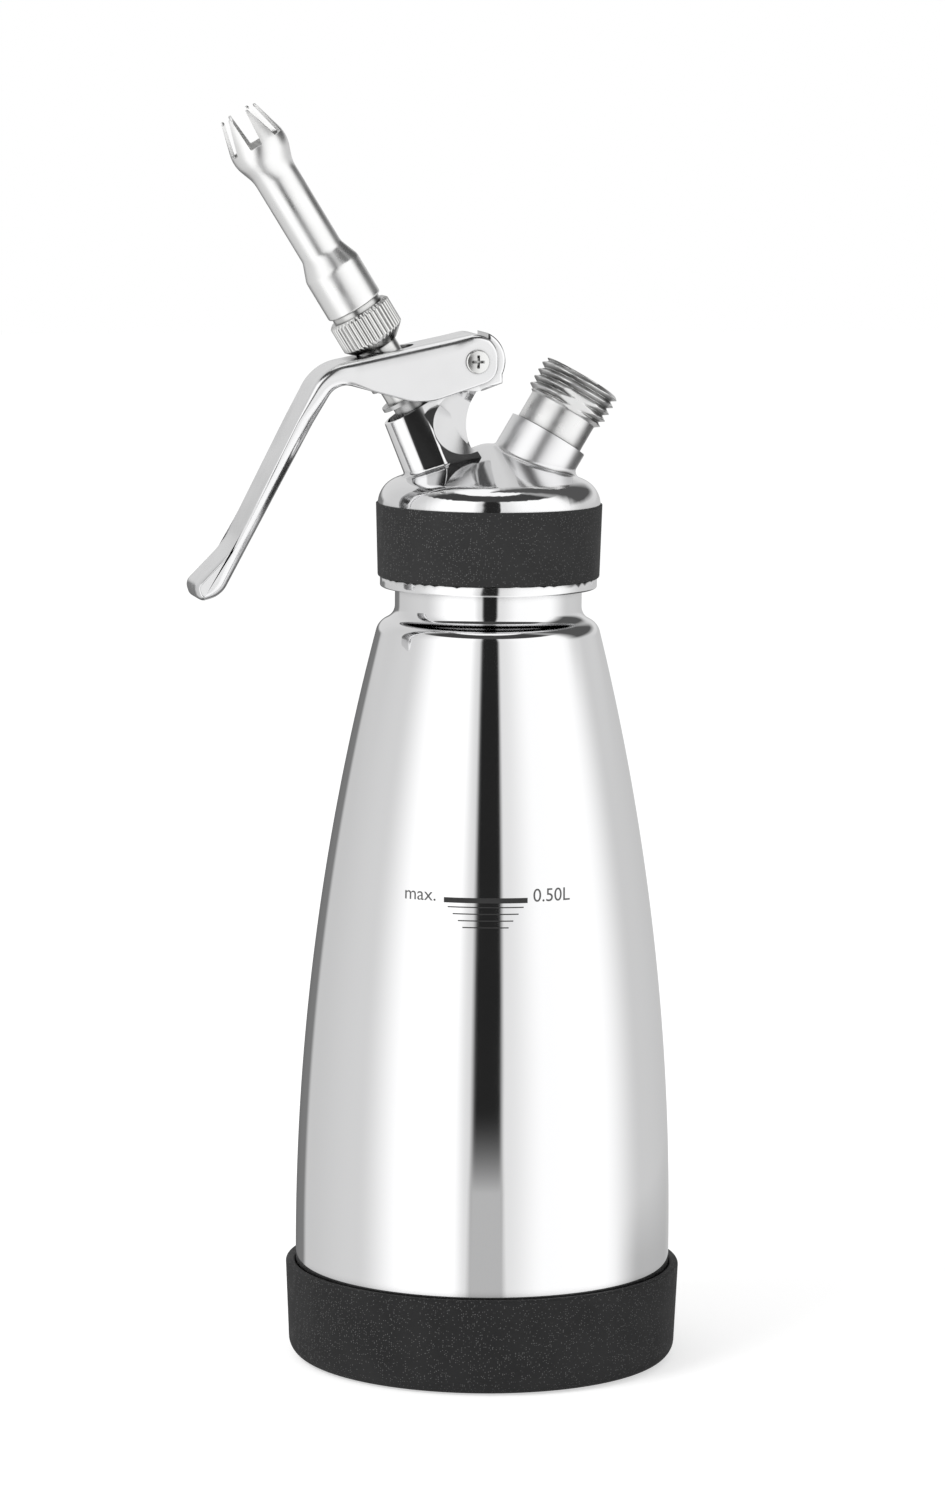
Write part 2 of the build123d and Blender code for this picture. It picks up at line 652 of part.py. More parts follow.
def valve_seal():
    """The rubber ring on the valve head, against the seat."""
    low = SEAT - VALVE_SEAL_THICK
    return STEM * ring(STEM_RADIUS + SEAT_FIT, VALVE_HEAD_RADIUS, low, SEAT - SEAT_FIT)


def stem_o_ring(middle):
    """A round ring in one of the stem's grooves."""
    return STEM * Pos(0, 0, middle) * Torus(STEM_RADIUS - O_RING_SECTION, O_RING_SECTION)


def stem_plate_outline():
    """The rounded outline that the washer and the clip share, longer on the lever's handle side."""
    reach = PLATE_LEFT_REACH - PLATE_HALF_WIDTH
    return Pos(-reach / 2, 0) * SlotOverall(reach + 2 * PLATE_HALF_WIDTH, 2 * PLATE_HALF_WIDTH)


def spring_washer():
    """The plate under the push collar that the spring cup bears on."""
    plate = stem_plate_outline() - Circle(WASHER_SEAT_RADIUS + SLIDE_FIT)
    return STEM * Pos(0, 0, WASHER_TOP - WASHER_THICK) * extrude(plate, WASHER_THICK)


def retaining_clip():
    """A horseshoe plate pushed into the stem's groove from the handle's side."""
    gap = CLIP_GROOVE_RADIUS + SLIDE_FIT
    opening = Circle(gap) + Pos(CUT_FAR / 2, 0) * Rectangle(CUT_FAR, 2 * gap)
    horseshoe = stem_plate_outline() - opening
    low = CLIP_TOP - (CLIP_GROOVE + CLIP_THICK) / 2
    return STEM * Pos(0, 0, low) * extrude(horseshoe, CLIP_THICK)


def spring_cup():
    """The cup that caps the spring and slides into the tower's mouth."""
    top = WASHER_TOP - WASHER_THICK
    floor = top - CUP_TOP_WALL
    bore = STEM_RADIUS + SLIDE_FIT
    return STEM * turned(
        [
            (bore, floor),
            (CUP_RADIUS - CUP_WALL, floor),
            (CUP_RADIUS - CUP_WALL, CUP_END),
            (CUP_RADIUS, CUP_END),
            (CUP_RADIUS, top),
            (bore, top),
        ]
    )


def helix_point(turn, low, pitch):
    """A point on the spring's centre line, at a count of turns from its low end."""
    angle = 2 * math.pi * turn
    return Vector(SPRING_RADIUS * math.cos(angle), SPRING_RADIUS * math.sin(angle), low + pitch * turn)


def helix_direction(turn, pitch):
    """The direction of the spring's centre line at a count of turns."""
    angle = 2 * math.pi * turn
    round_speed = 2 * math.pi * SPRING_RADIUS
    return Vector(-round_speed * math.sin(angle), round_speed * math.cos(angle), pitch).normalized()


def biarc(start, start_way, end, end_way):
    """Two tangent arcs from start to end that leave and arrive in the given directions."""
    span = end - start
    ways = start_way + end_way
    a = 2 * (1 - start_way.dot(end_way))
    b = 2 * span.dot(ways)
    reach = (-b + math.sqrt(b * b + 4 * a * span.dot(span))) / (2 * a)
    first = start + start_way * reach
    second = end - end_way * reach
    middle = (first + second) * 0.5
    return [
        Edge.make_tangent_arc(start, start_way, middle),
        Edge.make_tangent_arc(middle, (second - first).normalized(), end),
    ]


def valve_spring():
    """The return spring: one wire swept along a helix of half-turn arc pairs."""
    low = POCKET_FLOOR + SPRING_WIRE_RADIUS + SLIDE_FIT
    high = WASHER_TOP - WASHER_THICK - CUP_TOP_WALL - SPRING_WIRE_RADIUS - SLIDE_FIT
    pitch = (high - low) / SPRING_TURNS
    edges = []
    for half_turn in range(2 * SPRING_TURNS):
        turn = half_turn / 2
        following = (half_turn + 1) / 2
        edges += biarc(
            helix_point(turn, low, pitch),
            helix_direction(turn, pitch),
            helix_point(following, low, pitch),
            helix_direction(following, pitch),
        )
    path = Wire(edges)
    start = Plane(helix_point(0, low, pitch), z_dir=helix_direction(0, pitch))
    points = [path.position_at(step / SPRING_SAMPLES) for step in range(SPRING_SAMPLES + 1)]
    half_turn_steps = SPRING_SAMPLES // SPRING_TURNS // 2
    gaps = [
        (other - point).length
        for index, point in enumerate(points)
        for other in points[index + half_turn_steps :]
    ]
    print("valve_spring least gap to itself", round(min(gaps) - 2 * SPRING_WIRE_RADIUS, 3))
    return STEM * sweep(start * Circle(SPRING_WIRE_RADIUS), path)


def knurl_outline():
    """A circle of straight V ribs."""
    points = []
    for rib in range(KNURL_RIBS):
        for radius, part in ((ADAPTOR_RADIUS, 0.0), (ADAPTOR_RADIUS - KNURL_DEPTH, 0.5)):
            angle = 2 * math.pi * (rib + part) / KNURL_RIBS
            points.append((radius * math.cos(angle), radius * math.sin(angle)))
    return Polyline(*points, close=True)


def tip_adaptor():
    """The knurled ring, coned underneath, that screws on the stem and takes the nozzle."""
    inner = ADAPTOR_RADIUS - ADAPTOR_EDGE
    cone_low = ADAPTOR_LOW - ADAPTOR_CONE_HEIGHT
    barrel = turned(
        [
            (0, cone_low),
            (ADAPTOR_CONE_RADIUS, cone_low),
            (inner, ADAPTOR_LOW),
            (ADAPTOR_RADIUS, ADAPTOR_LOW + ADAPTOR_EDGE),
            (ADAPTOR_RADIUS, ADAPTOR_HIGH - ADAPTOR_EDGE),
            (inner, ADAPTOR_HIGH),
            (0, ADAPTOR_HIGH),
        ]
    )
    ribs = Pos(0, 0, cone_low) * extrude(make_face(knurl_outline()), ADAPTOR_HIGH - cone_low)
    spigot = rod(ADAPTOR_NECK_RADIUS, ADAPTOR_LOW, NOZZLE_LOW - SLIDE_FIT)
    thread = rod(ADAPTOR_THREAD_RADIUS, ADAPTOR_LOW, ADAPTOR_TOP)
    stem_way = rod(STEM_THREAD_RADIUS + SEAT_FIT, cone_low - CUT_PAST, STEM_TOP + SLIDE_FIT)
    cream_way = rod(ADAPTOR_BORE_RADIUS, ADAPTOR_LOW, ADAPTOR_TOP + CUT_PAST)
    return STEM * ((barrel & ribs) + spigot + thread - stem_way - cream_way)


def tip_seal():
    """The flat ring that the nozzle is screwed down on."""
    outer = ADAPTOR_THREAD_RADIUS - NOZZLE_FIT
    low = ADAPTOR_TOP + SEAT_FIT
    return STEM * ring(TIP_SEAL_BORE_RADIUS, outer, low, ADAPTOR_TOP + TIP_SEAL_THICK - SEAT_FIT)


def nozzle():
    """The tulip tip: socket, tube and a swelling cut into fingers."""
    bore_floor = ADAPTOR_TOP + TIP_SEAL_THICK
    socket = ADAPTOR_THREAD_RADIUS + NOZZLE_FIT
    body = turned(
        [
            (socket, NOZZLE_LOW),
            (NOZZLE_SOCKET_RADIUS, NOZZLE_LOW, NOZZLE_RIM_ROUND),
            (NOZZLE_SOCKET_RADIUS, NOZZLE_SOCKET_TOP, NOZZLE_STEP_ROUND),
            (NOZZLE_TUBE_RADIUS, NOZZLE_TUBE_START, NOZZLE_STEP_ROUND),
            (NOZZLE_TUBE_RADIUS, BULB_START, BULB_ROUND),
            (BULB_CORNER_RADIUS, BULB_Z, BULB_ROUND),
            (TIP_RADIUS, TIP_Z, TIP_EDGE_ROUND),
            (TIP_RADIUS - BULB_WALL, TIP_Z, TIP_EDGE_ROUND),
            (BULB_CORNER_RADIUS - BULB_WALL, BULB_Z, BULB_ROUND - BULB_WALL),
            (NOZZLE_BORE_RADIUS, BULB_BORE_START, BULB_BORE_ROUND),
            (NOZZLE_BORE_RADIUS, bore_floor),
            (socket, bore_floor),
        ]
    )
    half_low = TIP_SLOT_LOW_WIDTH / 2
    half_high = TIP_SLOT_HIGH_WIDTH / 2
    slot_outline = outline(
        [
            (-half_low, TIP_SLOT_FLOOR, TIP_SLOT_ROUND),
            (half_low, TIP_SLOT_FLOOR, TIP_SLOT_ROUND),
            (half_high, TIP_Z),
            (half_high, TIP_Z + CUT_PAST),
            (-half_high, TIP_Z + CUT_PAST),
            (-half_high, TIP_Z),
        ]
    )
    slot = side_slab(slot_outline, 2 * BULB_CORNER_RADIUS)
    for index in range(SLOT_COUNT // 2):
        body -= Rot(0, 0, SLOT_TURN + index * 360 / SLOT_COUNT) * slot
    return STEM * body


def inlet_fitting():
    """The gas inlet: shank in the boss, plain neck and the charger holder's thread, bored in steps."""
    body = turned(
        [
            (0, SHANK_END),
            (SHANK_RADIUS, SHANK_END),
            (SHANK_RADIUS, 0),
            (FITTING_NECK_RADIUS, 0, FITTING_FOOT_ROUND),
            (FITTING_NECK_RADIUS, THREAD_START),
            (THREAD_RUNOUT_RADIUS, THREAD_LOW),
            (THREAD_RUNOUT_RADIUS, FLAT_LOW + FLAT_HEIGHT),
            (THREAD_RADIUS, FLAT_LOW + FLAT_HEIGHT),
            (THREAD_RADIUS, THREAD_HIGH - THREAD_CHAMFER),
            (THREAD_RADIUS - THREAD_CHAMFER, THREAD_HIGH),
            (0, THREAD_HIGH),
        ]
    )
    flat_block = Box(CUT_FAR, CUT_FAR, FLAT_HEIGHT, align=(Align.CENTER, Align.MIN, Align.MIN))
    flat = Pos(0, FLAT_DISTANCE, FLAT_LOW) * flat_block
    bores = (
        rod(SOCKET_RADIUS, SOCKET_FLOOR, THREAD_HIGH + CUT_PAST)
        + rod(SEAL_STEP_RADIUS, SEAL_STEP_FLOOR, SOCKET_FLOOR)
        + rod(NEEDLE_SEAT_RADIUS, NEEDLE_SEAT_FLOOR, SEAL_STEP_FLOOR)
        + rod(FITTING_WAY_RADIUS, CHECK_BORE_TOP, NEEDLE_SEAT_FLOOR)
        + rod(CHECK_BORE_RADIUS, SHANK_END - CUT_PAST, CHECK_BORE_TOP)
    )
    return INLET * (body - bores - flat - Rot(0, 0, 180) * flat)


def fitting_seal():
    """The flat ring under the inlet fitting's shank."""
    outer = SHANK_RADIUS - SLIDE_FIT
    return INLET * ring(GAS_WAY_RADIUS, outer, INLET_SEAL_FLOOR + SEAT_FIT, SHANK_END - SEAT_FIT)


def piercing_pin():
    """The hollow needle that opens a charger."""
    base = NEEDLE_SEAT_FLOOR + SEAT_FIT
    seat = NEEDLE_SEAT_RADIUS - SEAT_FIT
    return INLET * turned(
        [
            (NEEDLE_BORE_RADIUS, base),
            (seat, base),
            (seat, SEAL_STEP_FLOOR),
            (NEEDLE_RADIUS, SEAL_STEP_FLOOR),
            (NEEDLE_RADIUS, NEEDLE_TAPER_START),
            (NEEDLE_TIP_RADIUS, NEEDLE_TIP),
            (NEEDLE_BORE_RADIUS, NEEDLE_TIP),
        ]
    )


def charger_seal():
    """The rubber ring that a charger's neck is pressed on."""
    low = SEAL_STEP_FLOOR + SEAT_FIT
    outer = SEAL_STEP_RADIUS - SLIDE_FIT
    return INLET * ring(CHARGER_SEAL_BORE_RADIUS, outer, low, low + CHARGER_SEAL_THICK)


def check_valve():
    """The silicone sleeve that opens to gas coming in and shuts when it stops."""
    top = CHECK_BORE_TOP - SLIDE_FIT
    flange_low = top - CHECK_FLANGE_THICK
    flange_radius = CHECK_BORE_RADIUS - SLIDE_FIT
    return INLET * turned(
        [
            (CHECK_SLEEVE_BORE_RADIUS, CHECK_SLEEVE_END),
            (CHECK_SLEEVE_RADIUS, CHECK_SLEEVE_END),
            (CHECK_SLEEVE_RADIUS, flange_low),
            (flange_radius, flange_low),
            (flange_radius, top),
            (CHECK_SLEEVE_BORE_RADIUS, top),
        ]
    )


PIECES = {
    "flask": flask(),
    "base_boot": base_boot(),
    "head_body": head_body(),
    "collar_grip": collar_grip(),
    "head_gasket": head_gasket(),
    "lever": lever(),
    "pivot_barrel": pivot_barrel(),
    "pivot_screw": pivot_screw(),
    "valve_stem": valve_stem(),
    "valve_seal": valve_seal(),
    "stem_o_ring_upper": stem_o_ring(O_RING_UPPER),
    "stem_o_ring_lower": stem_o_ring(O_RING_LOWER),
    "valve_spring": valve_spring(),
    "spring_washer": spring_washer(),
    "retaining_clip": retaining_clip(),
    "spring_cup": spring_cup(),
    "tip_adaptor": tip_adaptor(),
    "tip_seal": tip_seal(),
    "nozzle": nozzle(),
    "inlet_fitting": inlet_fitting(),
    "fitting_seal": fitting_seal(),
    "piercing_pin": piercing_pin(),
    "charger_seal": charger_seal(),
    "check_valve": check_valve(),
}

os.makedirs("parts", exist_ok=True)
for name, solid in PIECES.items():
    export_step(solid, f"parts/{name}.step")
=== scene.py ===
"""Looks of a whipping siphon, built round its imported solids: finishes, fine forms, studio and camera.

Sizes are in millimetres and in the solids' own frame: the origin is the centre of the boot's underside,
+Z runs up the flask's axis, the lever and the nozzle lean towards -X and the gas inlet towards +X.
"""
import logging
import math
from abc import ABC, abstractmethod
from dataclasses import dataclass, field
from enum import Enum
from typing import Callable, Sequence

import bmesh
import bpy
import numpy as np
from mathutils import Matrix


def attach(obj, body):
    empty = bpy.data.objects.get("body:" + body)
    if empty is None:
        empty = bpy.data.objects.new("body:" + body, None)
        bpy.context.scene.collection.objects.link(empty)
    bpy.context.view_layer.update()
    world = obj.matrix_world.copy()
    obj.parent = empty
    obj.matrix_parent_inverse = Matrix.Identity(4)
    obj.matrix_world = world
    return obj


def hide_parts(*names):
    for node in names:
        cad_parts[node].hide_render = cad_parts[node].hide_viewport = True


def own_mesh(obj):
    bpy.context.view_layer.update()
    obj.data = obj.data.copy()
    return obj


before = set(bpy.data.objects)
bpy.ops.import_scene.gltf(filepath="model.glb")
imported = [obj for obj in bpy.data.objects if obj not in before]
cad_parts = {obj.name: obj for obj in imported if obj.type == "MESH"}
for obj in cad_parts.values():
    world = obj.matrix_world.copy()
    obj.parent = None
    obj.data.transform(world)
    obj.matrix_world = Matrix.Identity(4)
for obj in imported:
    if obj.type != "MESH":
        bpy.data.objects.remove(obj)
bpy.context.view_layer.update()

MM = 0.001
LOG = logging.getLogger("siphon")

Array = np.ndarray
Corner = Sequence[float]
Pair = tuple[float, float]
Triple = tuple[float, float, float]
Piece = bpy.types.Object
Node = bpy.types.Node
Socket = bpy.types.NodeSocket

UP = np.array([0.0, 0.0, 1.0])
WHITE = (1.0, 1.0, 1.0, 1.0)
TINY = 1e-6  # the least length or sine that counts
NEAR = 0.01  # the slack when a radius is compared
MERGED = 0.0005  # points nearer than this become one
COLLAPSED = 0.0001  # edges shorter than this go
SHARP = 40.0  # the turn in degrees past which an edge stays sharp
NORMAL_WEIGHT = 60  # how much a larger face pulls on a normal
# painted shade in hollows: the occlusion's samples, and the openness where it is darkest and where it ends
HOLLOW_SAMPLES = 6
HOLLOW_SPAN = (0.25, 0.85)  # the openness of the closest hollows and of plain surfaces


class Body(Enum):
    """The rigid bodies that a piece can ride on."""

    FLASK = "flask"
    HEAD = "head"
    LEVER = "lever"
    VALVE = "dispensing_valve"
    NOZZLE = "nozzle"


class Slot(Enum):
    """The material slots named for new pieces."""

    POLISHED = "polished_steel"
    SATIN = "satin_steel"
    WIRE = "spring_steel"
    SILICONE = "black_silicone"


def unit(vectors: Array) -> Array:
    """Vectors scaled to a length of one."""
    return vectors / np.linalg.norm(vectors, axis=-1, keepdims=True)


def lengths(path: Array) -> Array:
    """The lengths of a path's runs."""
    return np.linalg.norm(np.diff(path, axis=0), axis=1)


def full_turn(count: int) -> Array:
    """Even angles round a circle."""
    return 2 * np.pi * np.arange(count) / count


def polar(radius: Array | float, angles: Array) -> Array:
    """Pairs (r cos t, r sin t) for radii r and angles t."""
    return np.stack([radius * np.cos(angles), radius * np.sin(angles)], axis=-1)


def round_points(radius: Array, angles: Array, height: Array | float) -> Array:
    """Points (r cos t, r sin t, z) for radii r, angles t and heights z."""
    return np.stack(np.broadcast_arrays(radius * np.cos(angles), radius * np.sin(angles), height), axis=-1)


def prism(outline: Array, low: float, high: float) -> Array:
    """Two rings of an outline's points, at two heights."""
    return np.stack([np.insert(outline, 2, height, axis=1) for height in (low, high)])


def arc_path(centre: Corner, radius: float, start: float, end: float, count: int) -> Array:
    """Points on a circle from one angle to another, in degrees."""
    return np.array(centre) + polar(radius, np.radians(np.linspace(start, end, count)))


def divided(path: Array, step: float) -> Array:
    """The same path without doubled points, and with points added evenly along every run over a step."""
    path = path[np.append(True, lengths(path) > TINY)]
    counts = np.ceil(lengths(path) / step).astype(int)
    owner = np.repeat(np.arange(len(counts)), counts)
    share = (np.arange(counts.sum()) - np.repeat(np.cumsum(counts) - counts, counts)) / counts[owner]
    inner = path[owner] + (path[owner + 1] - path[owner]) * share[:, None]
    return np.concatenate([inner, path[-1:]])


def rounded_path(corners: Sequence[Corner], step: float, arc_angle: float = 4.0) -> Array:
    """A path through corners, with an arc of the third value's radius where a corner has one.

    At a corner whose two runs meet at an angle a, an arc of radius r touches both runs r / tan(a / 2) away
    from the corner, and its centre lies r / sin(a / 2) along the line that halves the angle.

    Args:
        corners: across, up and, where the corner is rounded, its radius.
        step: the longest run between points.
        arc_angle: the largest turn between points of an arc, in degrees.

    Returns:
        Points as an array of pairs.
    """
    points = [np.array(corner[:2], float) for corner in corners]
    pieces = [points[0][None]]
    for before, here, after, corner in zip(points, points[1:], points[2:], corners[1:]):
        radius = corner[2] if len(corner) > 2 else 0.0
        if radius <= 0.0:
            pieces.append(here[None])
            continue
        back, on = unit(before - here), unit(after - here)
        half = math.acos(np.clip(back @ on, -1.0, 1.0)) / 2
        centre = here + unit(back + on) * radius / math.sin(half)
        first, last = (here + way * radius / math.tan(half) - centre for way in (back, on))
        start = math.atan2(first[1], first[0])
        turn = math.remainder(math.atan2(last[1], last[0]) - start, 2 * math.pi)
        runs = max(2.0, abs(math.degrees(turn)) / arc_angle, abs(turn) * radius / step)
        pieces.append(centre + polar(radius, start + np.linspace(0.0, turn, math.ceil(runs) + 1)))
    pieces.append(points[-1][None])
    return divided(np.concatenate(pieces), step)


@dataclass(frozen=True)
class Axis:
    """An axis that leans in the lever's plane, from upright towards +X, and where its heights start."""

    origin: Triple
    tilt: float

    def ways(self) -> Array:
        """Its directions across, to the side and along, as rows."""
        lean = math.radians(self.tilt)
        sine, cosine = math.sin(lean), math.cos(lean)
        return np.array([[cosine, 0.0, -sine], [0.0, 1.0, 0.0], [sine, 0.0, cosine]])

    def place(self, points: Array) -> Array:
        """Local points, with Z along the axis, in the siphon's frame."""
        return points @ self.ways() + np.array(self.origin)


STEM = Axis((-26.84, 0.0, 235.41), -32.0)
INLET = Axis((13.8, 0.0, 213.8), 30.7)


def turned_grid(
    profile: Array, segments: int, swell: Callable[[Array, Array], Array] | None = None
) -> Array:
    """A surface of revolution: radius r and height z go to (r cos t, r sin t, z) for each angle t.

    Args:
        profile: radius and height pairs.
        segments: the count of angles round the axis.
        swell: extra radius as a function of the profile and the angles, if any.

    Returns:
        A grid of points, profile by angle.
    """
    angles = full_turn(segments)
    extra = 0.0 if swell is None else swell(profile, angles)
    return round_points(profile[:, :1] + extra, angles, profile[:, 1:])


@dataclass
class NodeTree:
    """A short way to write a shader's nodes and links."""

    tree: bpy.types.NodeTree

    def add(self, kind: str, **sockets: object) -> Node:
        """Add a node and set its input sockets.

        Args:
            kind: the node's type, without the ShaderNode prefix.
            sockets: values or output sockets, by the input's name with spaces as underscores.

        Returns:
            The new node.
        """
        node = self.tree.nodes.new("ShaderNode" + kind)
        self.wire(node, **sockets)
        return node

    def wire(self, node: Node, **sockets: object) -> None:
        """Set a node's inputs, by their names with spaces as underscores."""
        for name, value in sockets.items():
            self.put(node.inputs[name.replace("_", " ")], value)

    def put(self, socket: Socket, value: object) -> None:
        """Link an output to a socket, or set the socket's own value."""
        if isinstance(value, Socket):
            self.tree.links.new(value, socket)
        else:
            socket.default_value = value

    def operate(self, kind: str, operation: str, values: Sequence[object]) -> Node:
        """Add a node that has an operation, and set its first inputs."""
        node = self.add(kind)
        node.operation = operation
        for socket, value in zip(node.inputs, values):
            self.put(socket, value)
        return node

    def math(self, operation: str, *values: object) -> Socket:
        """The result of a Math node."""
        return self.operate("Math", operation, values).outputs["Value"]

    def vector(self, operation: str, *values: object, output: str = "Vector") -> Socket:
        """The result of a VectorMath node."""
        return self.operate("VectorMath", operation, values).outputs[output]

    def times(self, product: object, *factors: object) -> Socket:
        """The product of values or sockets."""
        for factor in factors:
            product = self.math("MULTIPLY", product, factor)
        return product

    def spread(self, value: Socket, low: float, high: float, start: float, end: float) -> Socket:
        """Map a value from the range low to high onto start to end, and hold it there."""
        node = self.add("MapRange", Value=value, From_Min=low, From_Max=high, To_Min=start, To_Max=end)
        return node.outputs["Result"]

    def rise(self, value: Socket, start: float, end: float) -> Socket:
        """A share that goes from zero to one as a value goes from start to end."""
        return self.spread(value, start, end, 0.0, 1.0)

    def blend(self, level: object, goal: object, share: Socket) -> Socket:
        """A level moved towards a goal by a share."""
        return self.math("ADD", level, self.times(share, self.math("SUBTRACT", goal, level)))

    def scaled(self, colour: object, share: Socket) -> Socket:
        """A colour multiplied by a share."""
        node = self.operate("VectorMath", "SCALE", [colour])
        self.wire(node, Scale=share)
        return node.outputs["Vector"]

    def noise(self, place: Socket, size: float, detail: float = 3.0) -> Socket:
        """Noise with features of about size millimetres, as a factor."""
        return self.add("TexNoise", Vector=place, Scale=1 / (size * MM), Detail=detail).outputs["Fac"]

    def paint_crevice_shade(self, shader: Node, colour: Triple, low: float, reach: float = 2.5) -> None:
        """Paint shade into a colour in hollows narrower than reach, down to a share of low in the closest
        ones.
        """
        shade = self.add("AmbientOcclusion", Distance=reach * MM)
        shade.samples = HOLLOW_SAMPLES
        share = self.spread(shade.outputs["AO"], *HOLLOW_SPAN, low, 1.0)
        self.wire(shader, Base_Color=self.scaled(colour, share))

    def clouded(
        self, shader: Node, cloud: Socket, low: float, high: float, span: Pair = (0.3, 0.7)
    ) -> None:
        """Let a shader's roughness go from low to high over a span of a cloud's values."""
        self.wire(shader, Roughness=self.spread(cloud, *span, low, high))

    def grained(
        self, shader: Node, place: Socket, size: float, lift: float, depth: float, detail: float = 2.0
    ) -> None:
        """Lift a shader's normal by noise of a size, depth millimetres deep."""
        grain = self.noise(place, size, detail)
        bump = self.add("Bump", Height=grain, Strength=lift, Distance=depth * MM)
        self.wire(shader, Normal=bump.outputs["Normal"])


def new_material(name: str) -> tuple[bpy.types.Material, NodeTree, Node]:
    """A new material, its node tree and its principled shader."""
    material = bpy.data.materials.new(name)
    material.use_nodes = True
    return material, NodeTree(material.node_tree), material.node_tree.nodes["Principled BSDF"]


@dataclass(frozen=True)
class Finish(ABC):
    """A surface finish that makes its own procedural material."""

    name: str
    colour: Triple
    roughness: float

    def material(self) -> bpy.types.Material:
        """The finish's material, made once and then shared."""
        found = bpy.data.materials.get(self.name)
        if found is not None:
            return found
        material, nodes, shader = new_material(self.name)
        nodes.wire(shader, Base_Color=(*self.colour, 1.0), Roughness=self.roughness)
        self.shade(nodes, shader, nodes.add("TexCoord").outputs["Object"])
        return material

    @abstractmethod
    def shade(self, nodes: NodeTree, shader: Node, place: Socket) -> None:
        """Add the finish's own nodes.

        Args:
            nodes: the material's node tree.
            shader: its principled shader.
            place: Object coordinates.
        """


@dataclass(frozen=True)
class PolishedSteel(Finish):
    """Mirror-polished steel with faint smudges and hairline wiping marks."""

    smudge_size: float = 18.0
    hairline_size: float = 0.35
    smudge_span: Pair = (0.35, 0.75)
    smudge_gain: float = 1.9
    hairline_stretch: Triple = (1.0, 1.0, 0.05)
    hairline_lift: float = 0.02
    hairline_depth: float = 0.01
    # the share of the colour left in the closest hollows, as painted shade
    crevice_shade: float = 0.2

    def shade(self, nodes: NodeTree, shader: Node, place: Socket) -> None:
        """Smudges raise the roughness a little, hairlines lift the normal and painted shade darkens hollows.
        """
        nodes.wire(shader, Metallic=1.0)
        nodes.paint_crevice_shade(shader, self.colour, self.crevice_shade)
        cloud = nodes.noise(place, self.smudge_size, detail=4.0)
        nodes.clouded(shader, cloud, self.roughness, self.roughness * self.smudge_gain, self.smudge_span)
        stretched = nodes.add("Mapping", Vector=place, Scale=self.hairline_stretch).outputs["Vector"]
        nodes.grained(shader, stretched, self.hairline_size, self.hairline_lift, self.hairline_depth)


@dataclass(frozen=True)
class CastSteel(PolishedSteel):
    """A polished casting whose gas inlet boss is left as it was blasted."""

    boss: Axis = INLET
    boss_inner: float = 9.7
    boss_outer: float = 10.5
    boss_roughness: float = 0.3
    hollow: Axis = Axis((-7.7, 0.0, 216.9), 0.0)
    hollow_reach: float = 7.0
    hollow_edges: Pair = (-4.5, 206.0)
    # the share of the colour left in the arm's hollow, as painted shade
    hollow_shade_level: float = 0.74
    hollow_roughness: float = 0.22

    def shade(self, nodes: NodeTree, shader: Node, place: Socket) -> None:
        """The polish, and rougher surfaces on the boss and in the arm's hollow, which also gets painted
        shade.
        """
        super().shade(nodes, shader, place)
        rough, full = (shader.inputs[name].links[0].from_socket for name in ("Roughness", "Base Color"))
        from_boss = self.from_axis(nodes, place, self.boss.origin, self.boss.ways()[2])
        on_boss = nodes.rise(from_boss, self.boss_outer * MM, self.boss_inner * MM)
        from_hollow = self.from_axis(nodes, place, self.hollow.origin, self.hollow.ways()[1])
        split = nodes.add("SeparateXYZ", Vector=place)
        edge_x, edge_z = self.hollow_edges
        in_hollow = nodes.times(
            nodes.math("LESS_THAN", from_hollow, self.hollow_reach * MM),
            nodes.math("LESS_THAN", split.outputs["X"], edge_x * MM),
            nodes.math("GREATER_THAN", split.outputs["Z"], edge_z * MM),
        )
        rough = nodes.blend(rough, self.boss_roughness, on_boss)
        rough = nodes.blend(rough, self.hollow_roughness, in_hollow)
        # painted shade: the arm's hollow is darkened
        darker = nodes.scaled(full, nodes.spread(in_hollow, 0.0, 1.0, 1.0, self.hollow_shade_level))
        nodes.wire(shader, Roughness=rough, Base_Color=darker)

    def from_axis(self, nodes: NodeTree, place: Socket, origin: Corner, way: Corner) -> Socket:
        """The distance from an axis: the length of its direction crossed with the way from its origin."""
        away = nodes.vector("SUBTRACT", place, tuple(value * MM for value in origin))
        cross = nodes.vector("CROSS_PRODUCT", away, tuple(float(value) for value in way))
        return nodes.vector("LENGTH", cross, output="Value")


@dataclass(frozen=True)
class SatinSteel(Finish):
    """Turned or blasted steel with a fine even grain."""

    grain_size: float = 0.22
    grain_depth: float = 0.012
    cloud_size: float = 6.0
    cloud_gains: Pair = (0.85, 1.2)
    grain_lift: float = 0.25
    # the share of the colour left in the closest hollows, as painted shade
    crevice_shade: float = 0.25

    def shade(self, nodes: NodeTree, shader: Node, place: Socket) -> None:
        """Grain in the normal, slow clouds in the roughness, and painted shade in the hollows."""
        nodes.wire(shader, Metallic=1.0)
        nodes.paint_crevice_shade(shader, self.colour, self.crevice_shade)
        low, high = (self.roughness * gain for gain in self.cloud_gains)
        nodes.clouded(shader, nodes.noise(place, self.cloud_size), low, high)
        nodes.grained(shader, place, self.grain_size, self.grain_lift, self.grain_depth)


